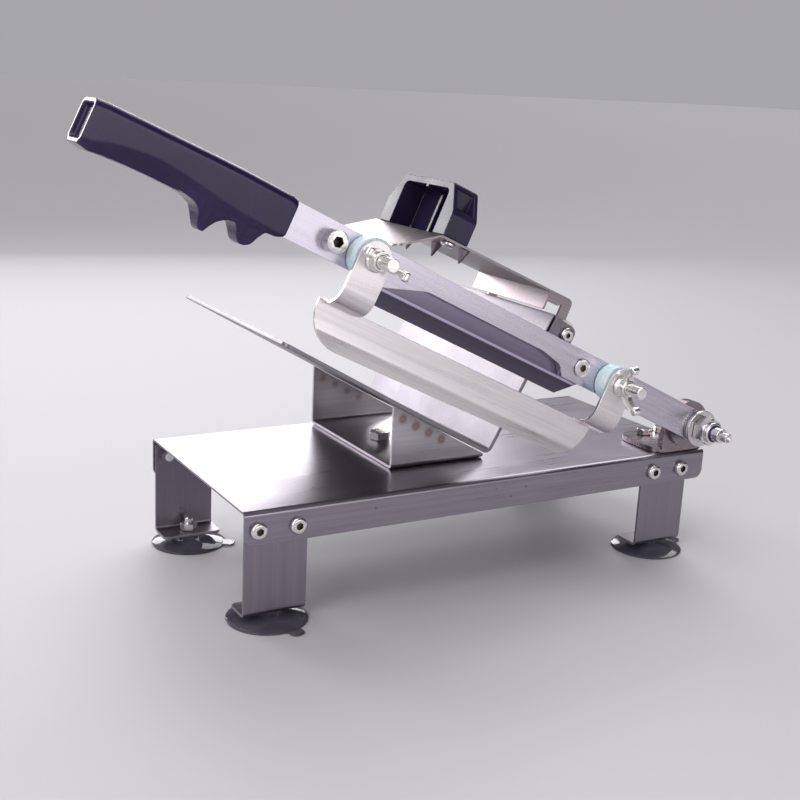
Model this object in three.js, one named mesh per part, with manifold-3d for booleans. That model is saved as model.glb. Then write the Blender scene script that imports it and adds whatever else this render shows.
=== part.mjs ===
import * as THREE from 'three';
import { mergeVertices } from 'three/addons/utils/BufferGeometryUtils.js';
import Module from 'manifold-3d';

const wasm = await Module();
wasm.setup();

// Hand lever slicer. Millimetres. X runs along the table, Y from front to back, Z up.
// The table top is at Z = 0 and the front face of the front flange at Y = 0 while it is built.

// General clearances
const gap = 0.3;

// Table: one bent sheet
const tableLength = 352;
const tableDepth = 160;
const tableSheet = 1.5;
const tableBend = 3;
const frontFlange = 21;
const rearFlange = 27;
const flangeCorner = 6;

// Legs: bent sheet, one under each corner
const standHeight = 66.5;
const legSheet = 2;
const legWidth = 40.5;
const legTab = 20;
const legBend = 3.5;
const leftLegInset = 1;
const rightLegInset = 13.5;
const legTopDrop = 4;
const legScrewSpan = 25;
const legScrewDrop = 11.5;

// Button head screws of the legs
const legScrewRadius = 3;
const buttonRadius = 5.25;
const buttonHeight = 3.3;
const rivetNutRadius = 4.5;
const rivetNutLength = 6;

// Suction cups with their studs and nuts
const cupRadius = 25;
const cupHeight = 7.2;
const cupNeck = 8;
const cupStudRadius = 3;
const cupNutFlats = 10;
const cupNutHeight = 5;
const cupStudBeyondNut = 4;
const cupTabReach = 7;
const cupTabTurn = { front_left: -75, front_right: 5, rear_left: 150, rear_right: 190 };

// Channel under the trough
const channelX = 118;
const channelFront = 39;
const channelRear = 156.6;
const channelHeight = 42.7;
const channelSheet = 2;
const channelLength = 71;
const channelBoltX = [24, 50];
const channelBoltRadius = 4;
const channelBoltFlats = 13;
const channelBoltHead = 5.3;
const channelNutHeight = 6.5;

// Trough: bent sheet, floor and wall at a right angle
const troughAngle = THREE.MathUtils.degToRad(29);
const troughSheet = 2.5;
const troughLeft = 110;
const troughWall = 52;
const troughWallHeight = 98.8;
const troughFront = -1;
const troughRear = 159.5;
const troughBend = 5;
const troughCorner = 5;
const earWidth = 23;
const earTop = 98.2;
const earDepth = 36;
const earFront = 2.8;

// Guide rod of the presser
const rodAlong = 67.9;
const rodUp = 91.4;
const rodRadius = 5;
const rodScrewRadius = 2.5;
const rodScrewHead = 4.75;
const rodScrewHeadHeight = 2.6;
const rodScrewDepth = 12;

// Presser: sleeve, spiked plate and grip
const sleeveRadius = 7;
const sleeveCollar = 9;
const sleeveCollarWidth = 2;
const sleeveRingWidth = 2.5;
const presserAngle = THREE.MathUtils.degToRad(23.5);
const presserDepth = 82;
const presserSheet = 1.5;
const presserRise = 22.5;
const presserRidge = 112.5;
const presserEnd = 20;
const presserEndDrop = 13.1;
const leafRun = 26;
const leafDrop = 17;
const hingeEarRadius = 9.5;
const hingeEarSheet = 2;
const hingeEarDrop = 7.5;
const hingeEarRight = 0.5;
const hingeLink = 8;
const hingeRelief = 18.8;
const spikeRadius = 4;
const spikeLength = 9.5;
const spikeTip = 0.5;
const spikeRow = 88;
const spikeCount = 3;
const spikeMargin = 9;
const gripInset = 1.5;
const gripThickness = 19.2;
const gripLength = 79.4;
const gripHeight = 33;
const gripShoulder = 15;
const gripSlope = 11.5;
const gripRecessLength = 53;
const gripRecessHeight = 28.5;
const gripWeb = 3;
const gripPocketRim = 3;
const gripPocketDepth = 7;
const gripPocketWall = 2.2;
const gripScrewInset = 6.8;
const gripScrewRadius = 2.5;
const gripScrewHead = 4.5;
const gripScrewHeadHeight = 2.4;
const gripScrewDepth = 8;

// Pivot bracket on the table
const pivotInset = 17.6;
const pivotZ = 20.2;
const pivotRadius = 5;
const bracketWidth = 43;
const bracketFront = 2.5;
const bracketDepth = 43;
const bracketSheet = 3.5;
const bracketCorner = 11;
const uprightSheet = 5;
const bossRadius = 16.6;
const bossHeight = 3;
const bracketBoltX = [18, 34];
const bracketBoltY = 36;
const bracketBoltRadius = 3;
const bracketBoltFlats = 10;
const bracketBoltHead = 4;
const weldNutRadius = 6;
const weldNutHeight = 5;

// Arm: flat bar
const armAngle = THREE.MathUtils.degToRad(25.2);
const armFront = -9.6;
const armSheet = 5;
const armHalf = 10.5;
const tangStart = 350.5;
const tangEnd = 450;
const tangHalf = 8;
const reliefStart = 131;
const reliefEnd = 277;
const reliefTop = 1.3;

// Pivot bolt stack, from the arm forward
const pivotBoltFlats = 17;
const pivotBoltHead = 6.4;
const spacerRadius = 11;
const washerRadius = 12.8;
const washerHeight = 3.6;
const pivotNutHeight = 9;
const pivotCollar = 7.4;
const pivotCollarHeight = 3;
const pivotBoltBeyond = 7;
const pivotPointRadius = 3.3;
const pivotPointLength = 6;

// Handle grip on the tang
const handleEnd = 472;
const handleTop = 11.8;
const handleBottom = 13.2;
const handleButt = 19.5;
const handleThickness = 24;
const handleEdge = 5;
const hookThickness = 10;
const hookEdge = 2.5;

// Blade and its screws
const bladeSheet = 2.5;
const bladeStart = 112.5;
const bladeEnd = 278;
const bladeTangEnd = 331;
const bladeEdge = 21.7;
const bladeFlat = 10.8;
const bladeFacet = 1.8;
const bladeScrewLeft = 320;
const bladeScrewRight = 118.8;
const bladeScrewRadius = 3;
const capHeadRadius = 6.5;
const capHeadHeight = 8;
const flatHeadRadius = 6;
const flatHeadHeight = 1.5;

// Thickness plate, its straps, studs, rings and wing nuts
const studLeft = 296.5;
const studRight = 92.5;
const studRadius = 4;
const studReach = 33;
const ringRadius = 12.5;
const ringHeight = 10;
const strapSheet = 2;
const strapWidth = 22;
const strapBend = 12;
const plateSheet = 2;
const plateStart = 88.8;
const plateEnd = 310.5;
const plateTop = 30.3;
const plateBottom = 56;
const plateFold = 47;
const plateFoldShift = 2.2;
const plateRound = 22;
const sliceThickness = 3;
const wingHub = 7;
const wingHubHeight = 7.5;
const wingReach = 15.5;
const wingForward = 15;
const wingThickness = 2.8;
const wingKnob = 2.4;

// Materials
const steel = new THREE.MeshStandardMaterial({ color: 0xb9b6bd, metalness: 1, roughness: 0.35 });
const sheetSteel = new THREE.MeshStandardMaterial({ color: 0xc4bfc4, metalness: 1, roughness: 0.4 });
const bladeSteel = new THREE.MeshStandardMaterial({ color: 0x8a8496, metalness: 1, roughness: 0.25 });
const screwSteel = new THREE.MeshStandardMaterial({ color: 0xd0cdd0, metalness: 1, roughness: 0.25 });
const blackPlastic = new THREE.MeshStandardMaterial({ color: 0x15121c, roughness: 0.3 });
const blueSilicone = new THREE.MeshStandardMaterial({ color: 0x9fc8d2, roughness: 0.5 });
const smokyVinyl = new THREE.MeshStandardMaterial({ color: 0x2a2733, roughness: 0.15 });
const nylon = new THREE.MeshStandardMaterial({ color: 0xe6e2da, roughness: 0.5 });

// Solids and cuts
function toSolid(geometry) {
  const bare = geometry.clone();
  bare.deleteAttribute('normal');
  bare.deleteAttribute('uv');
  const merged = mergeVertices(bare, 1e-4);
  return new wasm.Manifold(new wasm.Mesh({
    numProp: 3,
    vertProperties: new Float32Array(merged.attributes.position.array),
    triVerts: new Uint32Array(merged.index.array),
  }));
}

function fromSolid(solid) {
  const mesh = solid.getMesh();
  const geometry = new THREE.BufferGeometry();
  geometry.setAttribute('position', new THREE.BufferAttribute(new Float32Array(mesh.vertProperties), 3));
  geometry.setIndex(new THREE.BufferAttribute(new Uint32Array(mesh.triVerts), 1));
  geometry.computeVertexNormals();
  return geometry;
}

function join(...geometries) {
  const solids = geometries.map(toSolid);
  return fromSolid(solids.reduce((whole, piece) => whole.add(piece)));
}

function cut(geometry, ...tools) {
  return fromSolid(tools.map(toSolid).reduce((whole, tool) => whole.subtract(tool), toSolid(geometry)));
}

function common(first, second) {
  return fromSolid(toSolid(first).intersect(toSolid(second)));
}

// A closed outline whose corners [a, b, radius] are rounded with short straight steps
function outline(corners, steps = 4) {
  const points = [];
  corners.forEach(([a, b, radius = 0], index) => {
    const corner = new THREE.Vector2(a, b);
    if (radius === 0) {
      points.push(corner);
      return;
    }
    const before = corners[(index + corners.length - 1) % corners.length];
    const after = corners[(index + 1) % corners.length];
    const back = new THREE.Vector2(before[0] - a, before[1] - b).normalize();
    const ahead = new THREE.Vector2(after[0] - a, after[1] - b).normalize();
    const half = Math.acos(THREE.MathUtils.clamp(back.dot(ahead), -1, 1)) / 2;
    const centre = back.clone().add(ahead).normalize().multiplyScalar(radius / Math.sin(half)).add(corner);
    const start = back.multiplyScalar(radius / Math.tan(half)).add(corner).sub(centre);
    const end = ahead.multiplyScalar(radius / Math.tan(half)).add(corner).sub(centre);
    const sweep = Math.atan2(start.cross(end), start.dot(end));
    for (let step = 0; step <= steps; step += 1) {
      const angle = sweep * step / steps;
      points.push(start.clone().rotateAround(new THREE.Vector2(), angle).add(centre));
    }
  });
  return new THREE.Shape(points);
}

// Points of an arc about [a, b], from one angle to another in degrees
function arc(a, b, radius, from, to, steps) {
  return Array.from({ length: steps + 1 }, (unused, step) => {
    const angle = THREE.MathUtils.degToRad(from + (to - from) * step / steps);
    return [a + radius * Math.cos(angle), b + radius * Math.sin(angle)];
  });
}

// A shape in X and Z, extruded from one Y to another
function slab(shape, fromY, toY) {
  const geometry = new THREE.ExtrudeGeometry(shape, { depth: toY - fromY, bevelEnabled: false });
  return geometry.rotateX(Math.PI / 2).translate(0, toY, 0);
}

// A shape in X and Y, extruded from one Z to another
function plate(shape, fromZ, toZ) {
  return new THREE.ExtrudeGeometry(shape, { depth: toZ - fromZ, bevelEnabled: false }).translate(0, 0, fromZ);
}

// A section in Y and Z, extruded from one X to another
function bar(section, fromX, toX) {
  const geometry = new THREE.ExtrudeGeometry(section, { depth: toX - fromX, bevelEnabled: false });
  const turn = new THREE.Matrix4().makeBasis(
    new THREE.Vector3(0, 1, 0), new THREE.Vector3(0, 0, 1), new THREE.Vector3(1, 0, 0));
  return geometry.applyMatrix4(turn).translate(fromX, 0, 0);
}

function box(fromX, toX, fromY, toY, fromZ, toZ) {
  return new THREE.BoxGeometry(toX - fromX, toY - fromY, toZ - fromZ)
    .translate((fromX + toX) / 2, (fromY + toY) / 2, (fromZ + toZ) / 2);
}

function pinZ(radius, x, y, fromZ, toZ, sides = 16) {
  return new THREE.CylinderGeometry(radius, radius, toZ - fromZ, sides)
    .rotateX(Math.PI / 2).translate(x, y, (fromZ + toZ) / 2);
}

function pinY(radius, x, z, fromY, toY, sides = 16) {
  return new THREE.CylinderGeometry(radius, radius, toY - fromY, sides).translate(x, (fromY + toY) / 2, z);
}

function hexZ(flats, x, y, fromZ, toZ) {
  return pinZ(flats / Math.sqrt(3), x, y, fromZ, toZ, 6);
}

function hexY(flats, x, z, fromY, toY) {
  return pinY(flats / Math.sqrt(3), x, z, fromY, toY, 6);
}

// A turned solid about Z through the origin, from a profile of [radius, height]
function turned(profile, sides) {
  const points = profile.map(([radius, height]) => new THREE.Vector2(radius, height));
  return new THREE.LatheGeometry(points, sides).rotateX(Math.PI / 2);
}

// Screw along Y: its head faces the front, its shank runs to the back, the seat of the head at Y = 0
function buttonScrew(head, height, shank, length, socket) {
  const body = turned([
    [0, -length], [shank, -length], [shank, 0], [head, 0],
    [head, height * 0.3], [head * 0.8, height * 0.8], [head * 0.5, height], [0, height],
  ], 16).rotateX(Math.PI / 2);
  return cut(body, hexY(socket, 0, 0, -height - 1, -height * 0.4));
}

function capScrew(head, height, shank, length, socket) {
  const body = turned([
    [0, -length], [shank, -length], [shank, 0], [head, 0],
    [head, height - 1], [head - 1, height], [0, height],
  ], 20).rotateX(Math.PI / 2);
  return cut(body, hexY(socket, 0, 0, -height - 1, -height / 2));
}

const slicer = new THREE.Group();
slicer.name = 'hand_lever_slicer';

function add(name, geometry, material) {
  const mesh = new THREE.Mesh(geometry, material);
  mesh.name = name;
  slicer.add(mesh);
}

// Places along the table
const leftLegX = leftLegInset;
const rightLegX = tableLength - rightLegInset - legWidth;
const bracketLeft = tableLength - bracketWidth;
const pivotX = tableLength - pivotInset;

// Base table
const weldNutTop = -tableSheet;
const bracketBolts = bracketBoltX.map((offset) => bracketLeft + offset);
const channelBolts = channelBoltX.map((offset) => channelX + offset);
const channelMiddle = (channelFront + channelRear) / 2;
const innerBend = tableBend - tableSheet;
const tableSection = outline([
  [0, -frontFlange], [0, 0, tableBend], [tableDepth, 0, tableBend], [tableDepth, -rearFlange],
  [tableDepth - tableSheet, -rearFlange], [tableDepth - tableSheet, -tableSheet, innerBend],
  [tableSheet, -tableSheet, innerBend], [tableSheet, -frontFlange],
]);

function cornerCut(x, side, bottom, fromY, toY) {
  const reach = flangeCorner + 1;
  return slab(outline([
    [x - side, bottom - 1], [x + side * reach, bottom - 1], [x - side, bottom + reach],
  ]), fromY, toY);
}

const legCentres = [leftLegX + legWidth / 2, rightLegX + legWidth / 2];
const legScrewXs = legCentres.flatMap((x) => [x - legScrewSpan / 2, x + legScrewSpan / 2]);
const flangeHoles = legScrewXs.flatMap((x) => [
  pinY(legScrewRadius + gap, x, -legScrewDrop, -1, tableSheet + 1),
  pinY(legScrewRadius + gap, x, -legScrewDrop, tableDepth - tableSheet - 1, tableDepth + 1),
]);
const topHoles = [
  ...channelBolts.map((x) => pinZ(channelBoltRadius + gap, x, channelMiddle, -tableSheet - 1, 1)),
  ...bracketBolts.map((x) => pinZ(bracketBoltRadius + gap, x, bracketBoltY, -tableSheet - 1, 1)),
];
const weldNuts = bracketBolts.map((x) => cut(
  pinZ(weldNutRadius, x, bracketBoltY, weldNutTop - weldNutHeight, weldNutTop + tableSheet / 2),
  pinZ(bracketBoltRadius + gap, x, bracketBoltY, weldNutTop - weldNutHeight - 1, 1)));
const flangeCuts = [
  cornerCut(0, 1, -frontFlange, -1, tableSheet + 1),
  cornerCut(tableLength, -1, -frontFlange, -1, tableSheet + 1),
  cornerCut(0, 1, -rearFlange, tableDepth - tableSheet - 1, tableDepth + 1),
  cornerCut(tableLength, -1, -rearFlange, tableDepth - tableSheet - 1, tableDepth + 1),
];
add('base_table', join(
  cut(bar(tableSection, 0, tableLength), ...flangeCuts, ...flangeHoles, ...topHoles),
  ...weldNuts,
), sheetSteel);

// Legs, with their rivet nuts
const legY = tableSheet + gap;
const legSection = outline([
  [legY, -legTopDrop], [legY, -standHeight, legBend], [legY + legTab, -standHeight],
  [legY + legTab, -standHeight + legSheet], [legY + legSheet, -standHeight + legSheet, legBend - legSheet],
  [legY + legSheet, -legTopDrop],
]);
const cupY = legY + legTab / 2 + legSheet / 2;
const cupTop = -standHeight - gap;
const ground = -standHeight - cupHeight;

function leg(x) {
  const centre = x + legWidth / 2;
  const nuts = [-1, 1].map((side) => pinY(rivetNutRadius, centre + side * legScrewSpan / 2, -legScrewDrop,
    legY + legSheet / 2, legY + legSheet + rivetNutLength));
  const bores = [-1, 1].map((side) => pinY(legScrewRadius + gap, centre + side * legScrewSpan / 2,
    -legScrewDrop, legY - 1, legY + legSheet + rivetNutLength + 1));
  const studHole = pinZ(cupStudRadius + gap, centre, cupY, -standHeight - 1, -standHeight + legSheet + 1);
  return cut(join(bar(legSection, x, x + legWidth), ...nuts), ...bores, studHole);
}

// Half a turn about the middle of a corner's X carries a front piece to the back
function toBack(geometry, x) {
  return geometry.translate(-x, -tableDepth / 2, 0).rotateZ(Math.PI).translate(x, tableDepth / 2, 0);
}

// Suction cup with its pull tab pointing along an angle
function suctionCup(x, tabAngle) {
  const top = cupTop - ground;
  const skirt = turned([
    [0, 2], [cupRadius * 0.5, 1.7], [cupRadius * 0.78, 0.8], [cupRadius - 2.5, 0], [cupRadius, 0],
    [cupRadius, 1], [cupRadius - 2, 1.8], [cupRadius * 0.7, 3], [cupRadius * 0.48, 4.3],
    [cupNeck + 0.5, 5.2], [cupNeck, 5.9], [cupNeck, top], [cupStudRadius + gap, top],
    [cupStudRadius + gap, 3.6], [0, 3.6],
  ], 28);
  const pull = plate(outline([
    [cupRadius - 3, -5], [cupRadius + cupTabReach, -4, 3.5], [cupRadius + cupTabReach, 4, 3.5],
    [cupRadius - 3, 5],
  ]), 0.3, 1.4).rotateZ(THREE.MathUtils.degToRad(tabAngle));
  return join(skirt, pull).translate(x, cupY, ground);
}

function cupStud(x) {
  const end = -standHeight + legSheet + gap + cupNutHeight + cupStudBeyondNut;
  return pinZ(cupStudRadius, x, cupY, ground + 3.6 + gap, end, 12);
}

function cupNut(x) {
  const seat = -standHeight + legSheet + gap;
  return cut(hexZ(cupNutFlats, x, cupY, seat, seat + cupNutHeight),
    pinZ(cupStudRadius + gap, x, cupY, seat - 1, seat + cupNutHeight + 1, 12));
}

function legScrew(x) {
  const length = legY + legSheet + rivetNutLength + gap;
  const screw = buttonScrew(buttonRadius, buttonHeight, legScrewRadius, length + 1, 4);
  return screw.translate(x, -gap, -legScrewDrop);
}

const corners = [
  { side: 'front_left', x: leftLegX, back: false },
  { side: 'front_right', x: rightLegX, back: false },
  { side: 'rear_left', x: leftLegX, back: true },
  { side: 'rear_right', x: rightLegX, back: true },
];
for (const { side, x, back } of corners) {
  const centre = x + legWidth / 2;
  const place = (geometry) => (back ? toBack(geometry, centre) : geometry);
  add(`leg_${side}`, place(leg(x)), sheetSteel);
  add(`leg_screw_${side}_a`, place(legScrew(centre - legScrewSpan / 2)), screwSteel);
  add(`leg_screw_${side}_b`, place(legScrew(centre + legScrewSpan / 2)), screwSteel);
  add(`suction_cup_${side}`, place(suctionCup(centre, cupTabTurn[side])), smokyVinyl);
  add(`cup_stud_${side}`, place(cupStud(centre)), screwSteel);
  add(`cup_nut_${side}`, place(cupNut(centre)), screwSteel);
}

// Channel that carries the trough
const channelBottom = gap;
const channelTopZ = channelHeight;
const channelEnd = channelX + channelLength;
const channelBend = channelSheet + 1.5;
const channelSection = outline([
  [channelFront, channelTopZ + channelSheet], [channelFront, channelBottom, channelBend],
  [channelRear, channelBottom, channelBend], [channelRear, channelTopZ + channelSheet],
  [channelRear - channelSheet, channelTopZ + channelSheet],
  [channelRear - channelSheet, channelBottom + channelSheet, 1.5],
  [channelFront + channelSheet, channelBottom + channelSheet, 1.5],
  [channelFront + channelSheet, channelTopZ + channelSheet],
]);
const channelFall = Math.tan(troughAngle);
const aboveChannel = slab(outline([
  [channelX - 2, channelTopZ + 2 * channelFall],
  [channelEnd + 2, channelTopZ - (channelLength + 2) * channelFall],
  [channelEnd + 2, channelTopZ + 20], [channelX - 2, channelTopZ + 20],
]), channelFront - 1, channelRear + 1);
add('trough_channel', cut(bar(channelSection, channelX, channelEnd), aboveChannel,
  ...channelBolts.map((x) => pinZ(channelBoltRadius + gap, x, channelMiddle, channelBottom - 1,
    channelBottom + channelSheet + 1))), sheetSteel);

// Hex bolts with nuts that hold the channel on the table
channelBolts.forEach((x, index) => {
  const seat = channelBottom + channelSheet + gap;
  const nutTop = -tableSheet - gap;
  add(`channel_bolt_${index + 1}`, join(
    hexZ(channelBoltFlats, x, channelMiddle, seat, seat + channelBoltHead),
    pinZ(channelBoltRadius, x, channelMiddle, nutTop - channelNutHeight - 2, seat + 1)), screwSteel);
  add(`channel_nut_${index + 1}`, cut(
    hexZ(channelBoltFlats, x, channelMiddle, nutTop - channelNutHeight, nutTop),
    pinZ(channelBoltRadius + gap, x, channelMiddle, nutTop - channelNutHeight - 1, nutTop + 1)), screwSteel);
});

// Trough frame: along the floor and square to it, from where the channel's top edge starts
const troughZ = channelTopZ + gap / Math.cos(troughAngle);

function onTrough(geometry) {
  return geometry.rotateY(troughAngle).translate(channelX, 0, troughZ);
}

const earEnd = troughWall + earWidth;
const earBack = troughRear - troughSheet;
const troughSection = outline([
  [-troughLeft, 0], [troughWall + troughSheet, 0, troughBend],
  [troughWall + troughSheet, troughWallHeight], [troughWall, troughWallHeight],
  [troughWall, troughSheet, troughBend - troughSheet], [-troughLeft, troughSheet],
]);
const earShape = outline([
  [troughWall, earTop - earDepth], [earEnd, earTop - earDepth, troughCorner],
  [earEnd, earTop, troughCorner], [troughWall, earTop],
]);
const rodHoles = pinY(rodScrewRadius + gap, rodAlong, rodUp, earFront - 1, troughRear + 1);
const floorPlan = plate(outline([
  [-troughLeft, troughFront, troughCorner], [troughWall + troughSheet + 1, troughFront],
  [troughWall + troughSheet + 1, troughRear], [-troughLeft, troughRear, troughCorner],
]), -1, troughWallHeight + 1);
const earNotch = box(troughWall - 1, troughWall + troughSheet + 1, troughFront - 1, earFront,
  earTop - earDepth, troughWallHeight + 1);
const troughBody = cut(common(slab(troughSection, troughFront, troughRear), floorPlan), earNotch);
add('trough', onTrough(cut(join(
  troughBody,
  slab(earShape, earFront, earFront + troughSheet),
  slab(earShape, earBack, troughRear),
), rodHoles)), sheetSteel);

// Guide rod between the two ears, held by a screw at each end
const rodFront = earFront + troughSheet + gap;
const rodRear = earBack - gap;
const boreDepth = rodScrewDepth - troughSheet - gap;
add('guide_rod', onTrough(cut(
  pinY(rodRadius, rodAlong, rodUp, rodFront, rodRear, 20),
  pinY(rodScrewRadius + gap, rodAlong, rodUp, rodFront - 1, rodFront + boreDepth, 12),
  pinY(rodScrewRadius + gap, rodAlong, rodUp, rodRear - boreDepth, rodRear + 1, 12),
)), steel);
const rodScrew = () => buttonScrew(rodScrewHead, rodScrewHeadHeight, rodScrewRadius, rodScrewDepth - 1, 3);
add('rod_screw_front', onTrough(rodScrew().translate(rodAlong, earFront - gap, rodUp)), screwSteel);
add('rod_screw_rear', onTrough(rodScrew().rotateZ(Math.PI).translate(rodAlong, troughRear + gap, rodUp)),
  screwSteel);

// Presser frame: along its plate and square to it, from the axis of the guide rod
const rodX = channelX + rodAlong * Math.cos(troughAngle) + rodUp * Math.sin(troughAngle);
const rodZ = troughZ - rodAlong * Math.sin(troughAngle) + rodUp * Math.cos(troughAngle);

function onPresser(geometry) {
  return geometry.rotateY(presserAngle).translate(rodX, 0, rodZ);
}

const sleeveFront = rodFront + gap;
const presserFront = sleeveFront + sleeveCollarWidth + gap;
const presserRear = presserFront + presserDepth;
const ringStart = presserRear + gap;
const sleeveRear = ringStart + sleeveRingWidth;

// Sleeve that slides on the rod, with a collar in front and a push-on ring behind
add('presser_sleeve', onPresser(cut(join(
  pinY(sleeveRadius, 0, 0, sleeveFront, sleeveRear + gap, 20),
  pinY(sleeveCollar, 0, 0, sleeveFront, sleeveFront + sleeveCollarWidth, 20),
), pinY(rodRadius + gap, 0, 0, sleeveFront - 1, sleeveRear + gap + 1, 20))), nylon);
add('sleeve_ring', onPresser(cut(
  pinY(sleeveCollar, 0, 0, ringStart, sleeveRear, 20),
  pinY(sleeveRadius + gap, 0, 0, ringStart - 1, sleeveRear + 1, 20),
)), steel);

// Spiked plate: flat part, bent leaf, the end that is bent down, two hinge ears and the spikes, all one piece
const plateUnder = presserRise - presserSheet;
const leafLeft = -presserRidge - leafRun;
const pressSection = outline([
  [-presserEnd, presserRise - presserEndDrop], [-presserEnd, presserRise, 2],
  [-presserRidge, presserRise, 6],
  [leafLeft, presserRise - leafDrop], [leafLeft, presserRise - leafDrop - presserSheet],
  [-presserRidge, plateUnder, 4],
  [-presserEnd - presserSheet, plateUnder], [-presserEnd - presserSheet, presserRise - presserEndDrop],
]);
const pressPlan = plate(outline([
  [leafLeft, presserFront, 6], [-presserEnd, presserFront], [-presserEnd, presserRear],
  [leafLeft, presserRear, 6],
]), -presserRise, presserRise * 2);
const earUnder = presserRise - hingeEarDrop;
const earReach = presserEnd + presserSheet / 2;
const degrees = THREE.MathUtils.radToDeg;
const reliefTo = 180 - degrees(Math.asin(earUnder / hingeRelief));
const reliefFrom = degrees(Math.acos(-hingeLink / hingeRelief));
const linkAngle = degrees(Math.acos(hingeLink / hingeEarRadius));
const rightAngle = 90 + degrees(Math.asin(hingeEarRight / hingeEarRadius));
const hingeEar = outline([
  ...arc(0, 0, hingeRelief, reliefTo, reliefFrom, 4),
  ...arc(0, 0, hingeEarRadius, 180 - linkAngle, 360 + rightAngle, 12),
  [-hingeEarRight, presserRise, 4], [-earReach, presserRise], [-earReach, earUnder],
]);
const spikeStep = (presserDepth - 2 * spikeMargin) / (spikeCount - 1);
const spikes = Array.from({ length: spikeCount }, (unused, index) => (
  new THREE.CylinderGeometry(spikeRadius, spikeTip, spikeLength, 16).rotateX(Math.PI / 2)
    .translate(-spikeRow, presserFront + spikeMargin + index * spikeStep,
      plateUnder - spikeLength / 2 + presserSheet / 2)));
const gripLeft = -presserRidge + gripInset;
const gripRight = gripLeft + gripThickness;
const gripCentre = (gripLeft + gripRight) / 2;
const gripMiddle = (presserFront + presserRear) / 2;
const gripHalf = gripLength / 2;
const gripScrewYs = [gripMiddle - gripHalf + gripScrewInset, gripMiddle + gripHalf - gripScrewInset];
const gripScrewHoles = gripScrewYs.map((y) => pinZ(gripScrewRadius + gap, gripCentre, y,
  plateUnder - 1, presserRise + 1, 12));
add('presser_plate', onPresser(cut(join(
  common(slab(pressSection, presserFront, presserRear), pressPlan),
  slab(hingeEar, presserFront, presserFront + hingeEarSheet),
  slab(hingeEar, presserRear - hingeEarSheet, presserRear),
  ...spikes,
), ...gripScrewHoles, pinY(sleeveRadius + gap, 0, 0, presserFront - 1, presserRear + 1, 20))), sheetSteel);

// Hollow grip on the presser
const gripBase = presserRise + gap;
const gripTop = gripBase + gripHeight;
const gripSection = outline([
  [gripMiddle - gripHalf, gripBase, 1.5], [gripMiddle + gripHalf, gripBase, 1.5],
  [gripMiddle + gripHalf, gripBase + gripShoulder, 2.5],
  [gripMiddle + gripHalf - gripSlope, gripTop, 3],
  [gripMiddle - gripHalf + gripSlope, gripTop, 3],
  [gripMiddle - gripHalf, gripBase + gripShoulder, 2.5],
], 3);

// One half of the side recess, between the middle rib and the end, which is +1 or -1
function gripRecess(end) {
  const corners = [
    [gripMiddle + end * gripWeb / 2, gripBase - 1], [gripMiddle + end * gripRecessLength / 2, gripBase - 1],
    [gripMiddle + end * gripRecessLength / 2, gripBase + gripRecessHeight, 4],
    [gripMiddle + end * gripWeb / 2, gripBase + gripRecessHeight, 1.5],
  ];
  return bar(outline(corners, 3), gripLeft - 1, gripRight - gripWeb);
}

// Pocket in the sloping end face, which is +1 or -1
const facetRise = gripHeight - gripShoulder;
const facetLength = Math.hypot(gripSlope, facetRise);
const facetTilt = Math.atan2(gripSlope, facetRise);

function gripPocket(end) {
  const wall = gripRecessLength / 2 + gripPocketWall;
  const pocket = box(gripLeft + gripPocketRim, gripRight - gripPocketRim, -gripPocketDepth, gripPocketDepth,
    gripPocketRim, facetLength - gripPocketRim)
    .rotateX(end * facetTilt)
    .translate(0, gripMiddle + end * gripHalf, gripBase + gripShoulder);
  return cut(pocket, box(gripLeft, gripRight, gripMiddle - wall, gripMiddle + wall, gripBase, gripTop));
}

const gripHoles = gripScrewYs.map((y) => pinZ(gripScrewRadius + gap, gripCentre, y, gripBase - 1,
  gripBase + gripScrewDepth + gap, 12));
add('presser_grip', onPresser(cut(bar(gripSection, gripLeft, gripRight),
  gripRecess(-1), gripRecess(1), gripPocket(-1), gripPocket(1), ...gripHoles)), blackPlastic);
gripScrewYs.forEach((y, index) => {
  const length = presserSheet + 2 * gap + gripScrewDepth - gap;
  const screw = buttonScrew(gripScrewHead, gripScrewHeadHeight, gripScrewRadius, length, 3);
  add(`grip_screw_${index + 1}`, onPresser(screw.rotateX(Math.PI / 2)
    .translate(gripCentre, y, plateUnder - gap)), screwSteel);
});

// Pivot bracket
const bracketRight = bracketLeft + bracketWidth;
const bracketTop = gap + bracketSheet;
const uprightRear = bracketFront + uprightSheet;
const bossFront = bracketFront - bossHeight;
const bracketPlan = outline([
  [bracketLeft, bracketFront, bracketCorner], [bracketRight, bracketFront, 4],
  [bracketRight, bracketFront + bracketDepth, 4],
  [bracketLeft, bracketFront + bracketDepth, bracketCorner],
]);
const uprightShape = outline([
  [bracketLeft + bracketCorner / 2, bracketTop - 1], [bracketRight - 1, bracketTop - 1],
  ...arc(pivotX, pivotZ, bossRadius, 0, 180, 12), [bracketLeft + bracketCorner / 2, bracketTop + 9],
]);
add('pivot_bracket', cut(join(
  plate(bracketPlan, gap, bracketTop),
  slab(uprightShape, bracketFront, uprightRear),
  pinY(bossRadius, pivotX, pivotZ, bossFront, bracketFront + 1, 28),
), pinY(pivotRadius + gap, pivotX, pivotZ, bossFront - 1, uprightRear + 1, 20),
...bracketBolts.map((x) => pinZ(bracketBoltRadius + gap, x, bracketBoltY, gap - 1, bracketTop + 1))), steel);
bracketBolts.forEach((x, index) => {
  const seat = bracketTop + gap;
  add(`bracket_bolt_${index + 1}`, join(
    hexZ(bracketBoltFlats, x, bracketBoltY, seat, seat + bracketBoltHead),
    pinZ(bracketBoltRadius, x, bracketBoltY, weldNutTop - weldNutHeight - 1, seat + 1, 12)), screwSteel);
});

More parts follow.
